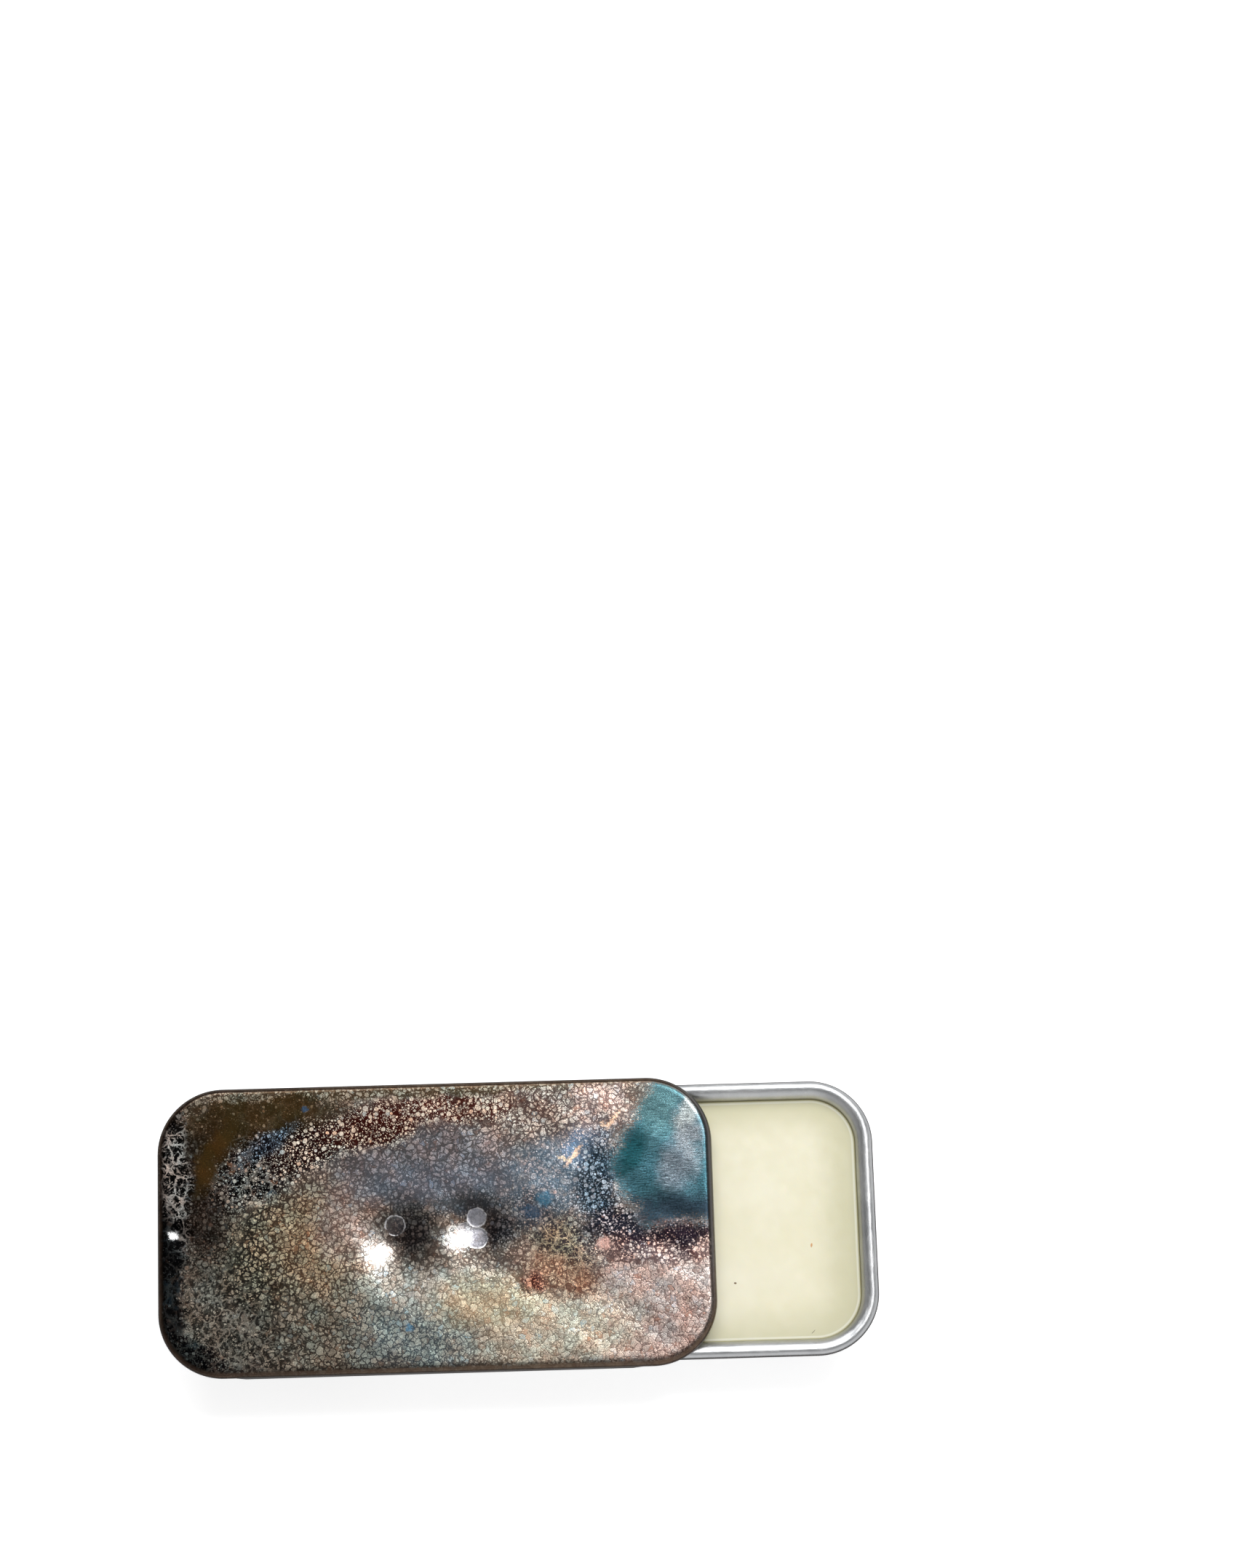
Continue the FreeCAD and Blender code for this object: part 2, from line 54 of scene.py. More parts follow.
# Sheet sizes of the real tin, in millimetres.
SHEET = 0.25
RIM_CORNER = 7.04
BEAD_WIDTH = 1.92
CURL_RADIUS = 0.7
CURL_END = math.radians(-150)
FLOOR_BEND = 1.15
POLISH_CORNER = 5.1
LID_CORNER = 7.3
LID_BEND = 0.8
SKIRT_DEPTH = 1.0
FLANGE_SETBACK = 1.2
HOOK_GAP = 0.15
HOOK_REACH = 0.23
HOOK_SLOPE = math.radians(57)
FLANGE_LEAN = math.radians(18)
HOOK_BEND_INSIDE = 0.2
EDGE_ROUNDING = 0.05
# The least room left between the strip and a dent, before the lid's slight unevenness.
STRIP_CLEARANCE = 0.05
# A point within this of a top face belongs to it.
NEAR_TOP = 1e-3
# Points of a mesh closer than this are one, in metres.
MERGE_DISTANCE = 2e-6


def box_mm(node):
    """Lowest and highest corner of a CAD node, in millimetres."""
    low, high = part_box(node)
    return np.array(low) / MM, np.array(high) / MM


PAN_LOW, PAN_HIGH = box_mm("base_pan")
LID_LOW, LID_HIGH = box_mm("sliding_lid")
POLISH_LOW, POLISH_HIGH = box_mm("polish_fill")
STRIP_LOW, STRIP_HIGH = box_mm("stop_strip")
LID_X = (LID_LOW[0] + LID_HIGH[0]) / 2
LID_HALF = (LID_HIGH - LID_LOW)[:2] / 2
LID_TOP = LID_HIGH[2]

# Dishes in the lid: centre, radius and depth.
DENTS = [
    ((-4.5, -2.0), 3.2, 0.45),
    ((4.5, -0.7), 2.6, 0.34),
    ((-28.6, -0.05), 0.95, 0.14),
]
# The part of the lid's top that has the fine mesh, round the first two dents: lowest and highest X, then Y.
FINE_X, FINE_Y = (-9, 7.5), (-4.6, 3)
FINE_STEP, COARSE_STEP = 0.11, 0.34
# Left of this the lid's relief runs on nearly to the rolled edge, for the third dent.
LEFT_END = -27
# Round spot-weld marks on the lid: centre, radius, depth and paleness.
WELD_MARKS = [
    ((-4.6, 0.2), 1.10, 0.014, 0.10),
    ((4.5, 0.85), 1.05, 0.012, 0.75),
    ((4.5, -1.45), 1.18, 0.014, 0.75),
    ((3.3, -0.7), 1.0, 0.006, 0.25),
]


# ---------------------------------------------------------------- meshes

class Sheet:
    """Quads gathered in millimetres; points that coincide are merged when the mesh is made."""

    def __init__(self):
        self.points = []
        self.faces = []

    def grid(self, rows, closed=False):
        """Quads over an array of points, rows x columns x 3; closed joins the last column to the first."""
        rows = np.asarray(rows, float)
        start = sum(len(block) for block in self.points)
        count, width = rows.shape[:2]
        self.points.append(rows.reshape(-1, 3))
        for i in range(count - 1):
            for j in range(width if closed else width - 1):
                right = (j + 1) % width
                corners = ((i, j), (i, right), (i + 1, right), (i + 1, j))
                self.faces.append([start + r * width + c for r, c in corners])

    def mesh(self, name, shape=None, up_at=None):
        """A mesh in metres. shape moves the points first; the face nearest up_at ends up facing +Z."""
        points = np.vstack(self.points)
        if shape:
            points = shape(points)
        data = bpy.data.meshes.new(name)
        data.from_pydata((points * MM).tolist(), [], self.faces)
        work = bmesh.new()
        work.from_mesh(data)
        bmesh.ops.remove_doubles(work, verts=work.verts, dist=MERGE_DISTANCE)
        bmesh.ops.dissolve_degenerate(work, dist=MERGE_DISTANCE / 2, edges=work.edges)
        bmesh.ops.recalc_face_normals(work, faces=work.faces)
        if up_at is not None:
            target = Vector(up_at) * MM
            face = min(work.faces, key=lambda f: (f.calc_center_median() - target).length)
            face.normal_update()
            if face.normal.z < 0:
                bmesh.ops.reverse_faces(work, faces=work.faces)
        work.to_mesh(data)
        work.free()
        return data


def graded(low, high, fine_low, fine_high, fine, coarse):
    """Steps from low to high, close together between fine_low and fine_high."""
    spans = [(low, fine_low, coarse), (fine_low, fine_high, fine), (fine_high, high, coarse)]
    steps = [np.linspace(a, b, max(1, round((b - a) / step)) + 1)[:-1] for a, b, step in spans]
    return np.concatenate([*steps, [high]])


def outline(half, corner, xs, ys, corner_steps):
    """Points round a rounded rectangle and their outward directions."""
    points, outwards = [], []
    middle = (half[0] - corner, half[1] - corner)
    sides = [
        ([(half[0], y) for y in ys], (1, 0), (middle[0], middle[1]), 0),
        ([(x, half[1]) for x in xs[::-1]], (0, 1), (-middle[0], middle[1]), 90),
        ([(-half[0], y) for y in ys[::-1]], (-1, 0), (-middle[0], -middle[1]), 180),
        ([(x, -half[1]) for x in xs], (0, -1), (middle[0], -middle[1]), 270),
    ]
    for line, direction, centre, start in sides:
        points += line
        outwards += [direction] * len(line)
        for k in range(1, corner_steps):
            angle = math.radians(start + 90 * k / corner_steps)
            heading = (math.cos(angle), math.sin(angle))
            points.append((centre[0] + corner * heading[0], centre[1] + corner * heading[1]))
            outwards.append(heading)
    return np.array(points), np.array(outwards)


def sweep(sheet, ring, profile):
    """Sweeps a profile of (distance in from the outline, height) round the outline."""
    points, outwards = ring
    rows = []
    for inset, height in profile:
        plan = points - outwards * inset
        rows.append(np.column_stack([plan, np.full(len(plan), height)]))
    sheet.grid(rows, closed=True)


def fill(sheet, xs, ys, height):
    """A level grid."""
    sheet.grid([[(x, y, height) for x in xs] for y in ys])


def arc(centre, radius, start, end, steps):
    """Points on an arc; angles in radians, from the first axis towards the second."""
    angles = np.linspace(start, end, steps + 1)
    return [(centre[0] + radius * math.cos(t), centre[1] + radius * math.sin(t)) for t in angles]


def rounded_path(corners, radii, steps):
    """An open path through the corners, each inner corner rounded to its radius."""
    path = [np.array(corners[0], float)]
    for before, corner, after, radius in zip(corners, corners[1:], corners[2:], radii):
        before, corner, after = (np.array(p, float) for p in (before, corner, after))
        into, away = before - corner, after - corner
        into, away = into / np.linalg.norm(into), away / np.linalg.norm(away)
        half = math.acos(np.clip(into @ away, -1, 1)) / 2
        bisector = (into + away) / np.linalg.norm(into + away)
        centre = corner + bisector * radius / math.sin(half)
        first = corner + into * radius / math.tan(half) - centre
        last = corner + away * radius / math.tan(half) - centre
        sweep_angle = math.pi - 2 * half
        for k in range(steps + 1):
            share = k / steps
            weights = (math.sin((1 - share) * sweep_angle), math.sin(share * sweep_angle))
            path.append(centre + (weights[0] * first + weights[1] * last) / math.sin(sweep_angle))
    path.append(np.array(corners[-1], float))
    return [tuple(p) for p in path]


def finished(name, data, materials, thickness=0, rounding=0, sharp=40):
    """The object for a mesh: given its thickness inwards, its cut edges rounded, shaded smooth."""
    item = bpy.data.objects.new(name, data)
    SCENE.collection.objects.link(item)
    for material in materials:
        data.materials.append(material)
    if thickness:
        solid = item.modifiers.new("thickness", "SOLIDIFY")
        solid.thickness = thickness * MM
        solid.offset = -1
        solid.use_even_offset = True
        solid.use_quality_normals = True
        solid.material_offset = len(materials) - 1
        solid.material_offset_rim = len(materials) - 1
    if rounding:
        bevel = item.modifiers.new("rounding", "BEVEL")
        bevel.width = rounding * MM
        bevel.segments = 2
        bevel.limit_method = "ANGLE"
        bevel.angle_limit = math.radians(60)
    if item.modifiers:
        graph = bpy.context.evaluated_depsgraph_get()
        final = bpy.data.meshes.new_from_object(item.evaluated_get(graph))
        final.name = name
        item.modifiers.clear()
        item.data = final
        bpy.data.meshes.remove(data)
    item.data.shade_smooth()
    item.data.set_sharp_from_angle(angle=math.radians(sharp))
    return item


def inset_in(points, half, corner):
    """How far points in plan lie in from a rounded rectangle's outline, right up to its corner radius."""
    outside = np.maximum(np.abs(points) - (np.asarray(half) - corner), 0)
    return corner - np.hypot(outside[:, 0], outside[:, 1])


def dent_depth(x, y):
    """How far the dents lower the lid at a point, from the lid's centre."""
    depth = 0
    for centre, radius, dip in DENTS:
        depth = depth + dip * np.exp(-(((x - centre[0]) ** 2 + (y - centre[1]) ** 2) / radius**2))
    return depth


def lid_relief(points):
    """Presses the dents and weld marks into the lid's top and makes it slightly uneven."""
    x, y, z = points.T
    depth = dent_depth(x, y)
    for centre, radius, dip, _ in WELD_MARKS:
        away = np.hypot(x - centre[0], y - centre[1])
        floor = 0.5 - 0.5 * np.tanh((away - radius) / 0.08)
        lip = np.exp(-(((away - radius - 0.09) / 0.07) ** 2))
        depth += dip * (floor - 0.5 * lip)
    wave = 0.016 * np.sin(0.31 * x + 0.4) * np.sin(0.43 * y + 1.1)
    wave += 0.010 * np.sin(0.71 * x - 0.5 * y) + 0.006 * np.sin(1.3 * y + 0.9 * x + 2)
    edge = inset_in(points[:, :2], LID_HALF, LID_CORNER)
    fade = np.clip((edge - LID_BEND) / 1.5, 0, 1)
    fade = np.maximum(fade * fade * (3 - 2 * fade), np.clip((edge - LID_BEND) / 0.6, 0, 1) * (x < LEFT_END))
    moved = points.copy()
    moved[:, 2] -= np.where(z > LID_TOP - NEAR_TOP, (depth + wave) * fade, 0)
    return moved


def flange_section():
    """Outer face of a side flange, as (Y, Z) from the skirt's lower edge to the flange's lower edge."""
    curl = (PAN_HIGH[1] - CURL_RADIUS, PAN_HIGH[2] - CURL_RADIUS)
    hook = np.array([math.sin(HOOK_SLOPE), math.cos(HOOK_SLOPE)])
    lean = np.array([math.sin(FLANGE_LEAN), math.cos(FLANGE_LEAN)])
    reach = CURL_RADIUS + HOOK_GAP

    def touch(offset):
        return np.array([curl[0] + (reach + offset) * hook[1], curl[1] - (reach + offset) * hook[0]])

    def along(point, direction, axis, value):
        return point + direction * (value - point[axis]) / direction[axis]

    upper = along(touch(SHEET), hook, 0, LID_HALF[1])
    inner_corner = along(touch(0), hook, 0, PAN_HIGH[1] - HOOK_REACH)
    lean_start = inner_corner + SHEET * np.array([lean[1], -lean[0]])
    turn = hook[0] * lean[1] - hook[1] * lean[0]
    gap = lean_start - touch(SHEET)
    lower = touch(SHEET) + hook * (gap[0] * lean[1] - gap[1] * lean[0]) / turn
    end = along(lean_start, lean, 1, LID_LOW[2])
    corners = [(LID_HALF[1], LID_TOP - SKIRT_DEPTH), tuple(upper), tuple(lower), tuple(end)]
    radii = [HOOK_BEND_INSIDE + SHEET, HOOK_BEND_INSIDE]
    return rounded_path(corners, radii, 6)


def make_lid(materials):
    """The lid: top, rolled edge and skirt all round, and a hooked flange on each long side."""
    middle = LID_HALF - LID_CORNER
    flange_half = middle[0] - FLANGE_SETBACK
    skirt_z = LID_TOP - SKIRT_DEPTH
    inner_xs = graded(-flange_half, flange_half, *FINE_X, FINE_STEP, COARSE_STEP)
    ends = np.linspace(flange_half, middle[0], 5)[1:]
    xs = np.concatenate([-ends[::-1], inner_xs, ends])
    ys = graded(-middle[1], middle[1], *FINE_Y, FINE_STEP, COARSE_STEP)
    ring = outline(LID_HALF, LID_CORNER, xs, ys, 34)
    sheet = Sheet()
    fill(sheet, xs, ys, LID_TOP)
    flat = [(inset, LID_TOP) for inset in np.linspace(LID_CORNER, LID_BEND, 22)]
    bend = arc((LID_BEND, LID_TOP - LID_BEND), LID_BEND, math.pi / 2, math.pi, 9)
    skirt = [(0, z) for z in np.linspace(LID_TOP - LID_BEND, skirt_z, 4)[1:]]
    sweep(sheet, ring, flat + bend[1:] + skirt)
    section = flange_section()
    for side in (-1, 1):
        rows = []
        for y, z in section:
            shrink = (flange_half - (skirt_z - z)) / flange_half
            rows.append([(x * shrink, side * y, z) for x in inner_xs])
        sheet.grid(rows)
    data = sheet.mesh("lid_shell", shape=lid_relief, up_at=(15, 8, LID_TOP))
    data.transform(Matrix.Translation((LID_X * MM, 0, 0)))
    return finished("lid_shell", data, materials, SHEET, EDGE_ROUNDING)


def make_pan(materials):
    """The drawn pan, from its floor up the wall and over into the curled rim."""
    half = PAN_HIGH[:2]
    middle = half - RIM_CORNER
    xs = graded(-middle[0], middle[0], -middle[0], middle[0], 0.5, 0.5)
    ys = graded(-middle[1], middle[1], -middle[1], middle[1], 0.5, 0.5)
    ring = outline(half, RIM_CORNER, xs, ys, 28)
    turn = BEAD_WIDTH - CURL_RADIUS
    floor_z, wall_top = PAN_LOW[2] + SHEET, PAN_HIGH[2] - turn
    floor_edge = BEAD_WIDTH + FLOOR_BEND
    flat = [(inset, floor_z) for inset in np.linspace(RIM_CORNER, floor_edge, 8)]
    floor_bend = arc((floor_edge, floor_z + FLOOR_BEND), FLOOR_BEND, -math.pi / 2, -math.pi, 8)
    wall = [(BEAD_WIDTH, z) for z in np.linspace(floor_z + FLOOR_BEND, wall_top, 12)[1:]]
    over = arc((CURL_RADIUS, wall_top), turn, 0, math.pi / 2, 10)
    curl_centre = (CURL_RADIUS, PAN_HIGH[2] - CURL_RADIUS)
    rolled = arc(curl_centre, CURL_RADIUS, math.pi / 2, math.pi - CURL_END, 20)
    sheet = Sheet()
    fill(sheet, xs, ys, floor_z)
    sweep(sheet, ring, flat + floor_bend[1:] + wall + over[1:] + rolled[1:])
    data = sheet.mesh("pan_shell", up_at=(0, 0, floor_z))
    return finished("pan_shell", data, materials, SHEET, EDGE_ROUNDING)


def polish_relief(points):
    """The polish creeps up its edge a little, and its surface is not quite level."""
    x, y = points[:, 0], points[:, 1]
    half = POLISH_HIGH[:2]
    edge = np.maximum(inset_in(points[:, :2], half, POLISH_CORNER), 0)
    dip = 0.10 * (1 - np.exp(-edge / 0.35)) + 0.03 * (1 - np.exp(-edge / 3))
    swell = 0.02 * np.sin(0.13 * x + 0.7) * np.sin(0.21 * y + 0.3)
    moved = points.copy()
    top = points[:, 2] > POLISH_HIGH[2] - NEAR_TOP
    moved[:, 2] -= np.where(top, dip + (0.02 + swell) * np.clip(edge / 2, 0, 1), 0)
    return moved


def make_polish(material):
    """The polish: a closed solid that fills the pan to a little below its rim."""
    half = POLISH_HIGH[:2]
    middle = half - POLISH_CORNER
    xs = graded(-middle[0], middle[0], -middle[0], middle[0], 0.6, 0.6)
    ys = graded(-middle[1], middle[1], -middle[1], middle[1], 0.6, 0.6)
    ring = outline(half, POLISH_CORNER, xs, ys, 24)
    low, high = POLISH_LOW[2], POLISH_HIGH[2]
    edge_bend = FLOOR_BEND - 0.02
    below = [(inset, low) for inset in np.linspace(POLISH_CORNER, edge_bend, 6)]
    bend = arc((edge_bend, low + edge_bend), edge_bend, -math.pi / 2, -math.pi, 6)
    wall = [(0, z) for z in np.linspace(low + edge_bend, high, 8)[1:]]
    insets = [0.06, 0.14, 0.24, 0.36, 0.5, 0.7, 0.95, 1.3, 1.8, 2.5, 3.3, 4.2, POLISH_CORNER]
    above = [(inset, high) for inset in insets]
    sheet = Sheet()
    fill(sheet, xs, ys, low)
    fill(sheet, xs, ys, high)
    sweep(sheet, ring, below + bend[1:] + wall + above)
    data = sheet.mesh("polish", shape=polish_relief, up_at=(0, 0, high))
    return finished("polish", data, [material], sharp=60)


def make_strip(material):
    """The stop strip: its ends bent down as tabs, and pressed where a dent of the lid would meet it."""
    (x0, y0, z0), (x1, y1, z1) = STRIP_LOW, STRIP_HIGH
    corners = [(x0, z0), (x0, z1), (x1, z1), (x1, z0)]
    path = rounded_path(corners, [HOOK_BEND_INSIDE + SHEET] * 2, 6)
    middle = path.index(max(path[:len(path) // 2], key=lambda p: p[1]))
    flat = [(x, z1) for x in np.linspace(path[middle][0], x0 + x1 - path[middle][0], 60)[1:-1]]
    path = path[:middle + 1] + flat + path[-middle - 1:]
    ys = np.linspace(y0, y1, 25)
    sheet = Sheet()
    sheet.grid([[(x, y, z) for y in ys] for x, z in path])

    def pressed(points):
        room = LID_TOP - SHEET - z1 - STRIP_CLEARANCE
        points[:, 2] -= np.maximum(dent_depth(points[:, 0] - LID_X, points[:, 1]) - room, 0)
        return points

    data = sheet.mesh("stop_strip_shell", pressed, up_at=((x0 + x1) / 2, 0, z1))
    return finished("stop_strip_shell", data, [material], SHEET, EDGE_ROUNDING)


# ---------------------------------------------------------------- material nodes

def linear(red, green, blue):
    """A colour given as it looks on screen, 0 to 255, as a linear colour."""
    def one(value):
        value /= 255
        return value / 12.92 if value <= 0.04045 else ((value + 0.055) / 1.055) ** 2.4
    return (one(red), one(green), one(blue), 1)


class Nodes:
    """Short calls that add nodes to a material or a world.

    An input is a number, a tuple or another node's output.
    """

    def __init__(self, owner, shader="Principled BSDF"):
        self.owner = owner
        owner.use_nodes = True
        self.tree = owner.node_tree
        self.shader = self.tree.nodes[shader]

    def add(self, kind, inputs=(), output=0, **settings):
        node = self.tree.nodes.new(kind)
        for key, value in settings.items():
            setattr(node, key, value)
        for key, value in dict(inputs).items():
            self.plug(node.inputs[key], value)
        return node.outputs[output]

    def plug(self, socket, value):
        if isinstance(value, bpy.types.NodeSocket):
            self.tree.links.new(value, socket)
        else:
            socket.default_value = value

    def math(self, operation, a, b=0.0, c=0.0, clamp=False):
        return self.add("ShaderNodeMath", {0: a, 1: b, 2: c}, operation=operation, use_clamp=clamp)

    def times(self, a, b):
        return self.math("MULTIPLY", a, b)

    def plus(self, a, b):
        return self.math("ADD", a, b)

    def vector(self, operation, a, b=(0, 0, 0)):
        output = 1 if operation in ("LENGTH", "DOT_PRODUCT") else 0
        return self.add("ShaderNodeVectorMath", {0: a, 1: b}, output, operation=operation)

    def scaled(self, vector, amount):
        return self.add("ShaderNodeVectorMath", {0: vector, 3: amount}, operation="SCALE")

    def smooth(self, value, low, high, to_low=0.0, to_high=1.0):
        """Smooth step of value from low to high; either may be the larger."""
        inputs = {0: value, 1: low, 2: high, 3: to_low, 4: to_high}
        return self.add("ShaderNodeMapRange", inputs, interpolation_type="SMOOTHSTEP")

    def mix(self, share, a, b, blend="MIX"):
        inputs = {0: share, 6: a, 7: b}
        return self.add("ShaderNodeMix", inputs, 2, data_type="RGBA", blend_type=blend)

    def split(self, vector):
        node = self.tree.nodes.new("ShaderNodeSeparateXYZ")
        self.plug(node.inputs[0], vector)
        return node.outputs

    def place(self, vector, centre=(0, 0, 0), angle=0, size=(1, 1, 1)):
        """The vector seen from a spot, turned by angle in degrees and divided by size."""
        inputs = {0: vector, 1: centre, 2: (0, 0, math.radians(angle)), 3: size}
        return self.add("ShaderNodeMapping", inputs, vector_type="TEXTURE")

    def noise(self, vector, scale, detail=2.0, roughness=0.5, colour=False):
        inputs = {"Vector": vector, "Scale": scale, "Detail": detail, "Roughness": roughness}
        return self.add("ShaderNodeTexNoise", inputs, 1 if colour else 0)

    def cells(self, vector, scale, feature="F1"):
        """Distance within the cells, and for F1 also three random numbers for each cell."""
        inputs = {"Vector": vector, "Scale": scale}
        distance = self.add("ShaderNodeTexVoronoi", inputs, feature=feature)
        return distance, distance.node.outputs.get("Color")

    def jitter(self, vector, scale, amount, detail=2.0):
        """The vector moved about by noise."""
        shift = self.vector("SUBTRACT", self.noise(vector, scale, detail, colour=True), (0.5, 0.5, 0.5))
        return self.vector("ADD", vector, self.scaled(shift, amount))

    def millimetres(self, origin=(0, 0, 0)):
        """Object coordinates in millimetres from an origin."""
        place = self.add("ShaderNodeTexCoord", output=3)
        return self.vector("SUBTRACT", self.scaled(place, 1 / MM), origin)

    def inset(self, flat, half, corner):
        """How far a point in plan lies in from a rounded rectangle's outline."""
        middle = (half[0] - corner, half[1] - corner, 0)
        beyond = self.vector("SUBTRACT", self.vector("ABSOLUTE", flat), middle)
        beyond = self.vector("MAXIMUM", beyond, (0, 0, 0))
        return self.math("SUBTRACT", corner, self.vector("LENGTH", beyond))

    def bump(self, height, distance):
        inputs = {"Height": height, "Distance": distance * MM, "Strength": 1.0}
        return self.add("ShaderNodeBump", inputs)

    def light_path(self):
        """The kinds of ray, by name."""
        return self.tree.nodes.new("ShaderNodeLightPath").outputs

    def finish(self, **inputs):
        """Sets the shader's sockets; a name's underscores stand for spaces."""
        for name, value in inputs.items():
            self.plug(self.shader.inputs[name.replace("_", " ")], value)
        return self.owner


def hairlines(nodes, place, angle, length, spacing, share):
    """Fine straight scratches at an angle: 1 on a scratch."""
    along = nodes.place(place, angle=angle, size=(length, spacing, spacing))
    return nodes.smooth(nodes.noise(along, 1, 1), 1 - share, 1 - share + 0.06)


def satin_tinplate(name, dark, light, warmth=0.0, rim=False):
    """Bare tinplate: satin, with cloudy tone, fine scratches and a slightly uneven surface.

    With a rim it is the pan's: rougher round the rim's outermost edge, where painted shade darkens it,
    and with a rougher film of polish on the inner wall just above the fill, tinted olive as a painted
    reflection of the wax.
    """
    nodes = Nodes(bpy.data.materials.new(name))
    place = nodes.millimetres()
    cloud = nodes.noise(nodes.jitter(place, 0.2, 3), 0.22, 4, 0.6)
    colour = nodes.mix(nodes.smooth(cloud, 0.3, 0.7), dark, light)
    stain = nodes.smooth(nodes.noise(place, 0.6, 5, 0.7), 0.56, 0.75)
    colour = nodes.mix(nodes.times(stain, 0.1 + warmth), colour, linear(150, 138, 118))
    scratch = nodes.math("MAXIMUM", hairlines(nodes, place, 78, 2.5, 0.07, 0.36),
                         hairlines(nodes, place, -14, 3.5, 0.06, 0.35))
    scratch = nodes.math("MAXIMUM", scratch, hairlines(nodes, place, 33, 4, 0.05, 0.33))
    colour = nodes.mix(nodes.times(scratch, 0.25), colour, linear(232, 232, 232))
    grain = nodes.noise(place, 9, 2)
    if rim:
        inset = nodes.inset(nodes.vector("MULTIPLY", place, (1, 1, 0)), PAN_HIGH[:2], RIM_CORNER)
        # Painted shade: the rim's outermost edge is darkened; it is also rougher there.
        dulled_and_shaded = nodes.smooth(nodes.plus(inset, nodes.times(grain, 0.08)), 0.26, 0.08)
        colour = nodes.mix(nodes.times(dulled_and_shaded, 0.8), colour, linear(66, 62, 58))
        # Painted reflection: the inner wall just above the fill is tinted olive like the wax mirrored in it;
        # the film of polish there is rougher.
        height_up = nodes.math("SUBTRACT", nodes.split(place)[2], POLISH_HIGH[2])
        wax_film_and_reflection = nodes.smooth(nodes.plus(height_up, nodes.times(cloud, 0.5)), 0.95, 0.35)
        wax_film_and_reflection = nodes.times(wax_film_and_reflection, nodes.smooth(inset, BEAD_WIDTH - 0.3, BEAD_WIDTH - 0.05))
        wax_film_and_reflection = nodes.times(wax_film_and_reflection, nodes.smooth(height_up, -1.5, -0.5))
        colour = nodes.mix(nodes.times(wax_film_and_reflection, 0.7), colour, linear(128, 120, 78))
    rough = nodes.plus(nodes.smooth(cloud, 0.2, 0.8, 0.24, 0.34), nodes.times(grain, 0.1))
    if rim:
        rough = nodes.plus(rough, nodes.plus(nodes.times(dulled_and_shaded, 0.4), nodes.times(wax_film_and_reflection, 0.2)))
    height = nodes.plus(nodes.times(grain, 0.5), nodes.times(scratch, -0.35))
    height = nodes.plus(height, nodes.times(nodes.noise(place, 0.5, 1), 6))
    return nodes.finish(Base_Color=colour, Metallic=1.0, Roughness=rough,
                        Normal=nodes.bump(height, 0.012))


# Specks in the polish: place, half size, angle and colour.
WAX_SPECKS = [
    ((23.0, -3.0), (0.30, 0.13), 80, linear(214, 158, 100)),
    ((14.3, -7.0), (0.17, 0.13), 0, linear(112, 84, 52)),
    ((22.8, -12.7), (0.36, 0.045), 45, linear(120, 112, 84)),
]


def polish_wax():
    """Set wax: pale and faintly green, with a few specks; painted shade deepens its tone towards its edges.
    """
    nodes = Nodes(bpy.data.materials.new("polish_wax"))
    place = nodes.millimetres()
    flat = nodes.vector("MULTIPLY", place, (1, 1, 0))
    edge = nodes.inset(flat, POLISH_HIGH[:2], POLISH_CORNER)
    cloud = nodes.noise(place, 0.12, 3, 0.55)
    # Painted shade: the wax darkens and greens towards the pan's wall, in a wider band towards the right end.
    nearer = nodes.math("SUBTRACT", edge, nodes.smooth(nodes.split(place)[0], 19, 27, 0, 1.5))
    painted_edge_shade = nodes.smooth(nodes.plus(nearer, nodes.times(cloud, 1.6)), 0.6, 5.6, 1.0, 0.0)
    colour = nodes.mix(nodes.smooth(cloud, 0.35, 0.65), linear(239, 234, 205), linear(244, 239, 214))
    colour = nodes.mix(nodes.times(painted_edge_shade, 0.8), colour, linear(212, 208, 172))
    # Painted highlight: a pale line just in from the wax's edge.
    lip = nodes.smooth(nodes.math("ABSOLUTE", nodes.math("SUBTRACT", edge, 0.28)), 0.16, 0.04)
    colour = nodes.mix(nodes.times(lip, 0.6), colour, linear(252, 250, 232))
    # Painted shade: a dark olive line where the wax meets the wall.
    colour = nodes.mix(nodes.times(nodes.smooth(edge, 0.16, 0.04), 0.8), colour, linear(150, 142, 92))
    for centre, size, angle, tone in WAX_SPECKS:
        ragged = nodes.jitter(flat, 6, 0.12)
        speck = nodes.vector("LENGTH", nodes.place(ragged, (*centre, 0), angle, (*size, 1)))
        colour = nodes.mix(nodes.smooth(speck, 1.0, 0.6), colour, tone)
    grain = nodes.noise(place, 3.5, 3, 0.6)
    height = nodes.plus(nodes.times(grain, 0.4), nodes.times(nodes.noise(place, 0.35, 2), 4))
    rough = nodes.smooth(nodes.noise(place, 0.8, 3), 0.3, 0.7, 0.34, 0.46)
    return nodes.finish(Base_Color=colour, Roughness=rough, IOR=1.44, Subsurface_Weight=0.22,
                        Subsurface_Radius=(0.0014, 0.0011, 0.0006), Subsurface_Scale=1.0,
                        Normal=nodes.bump(height, 0.01))
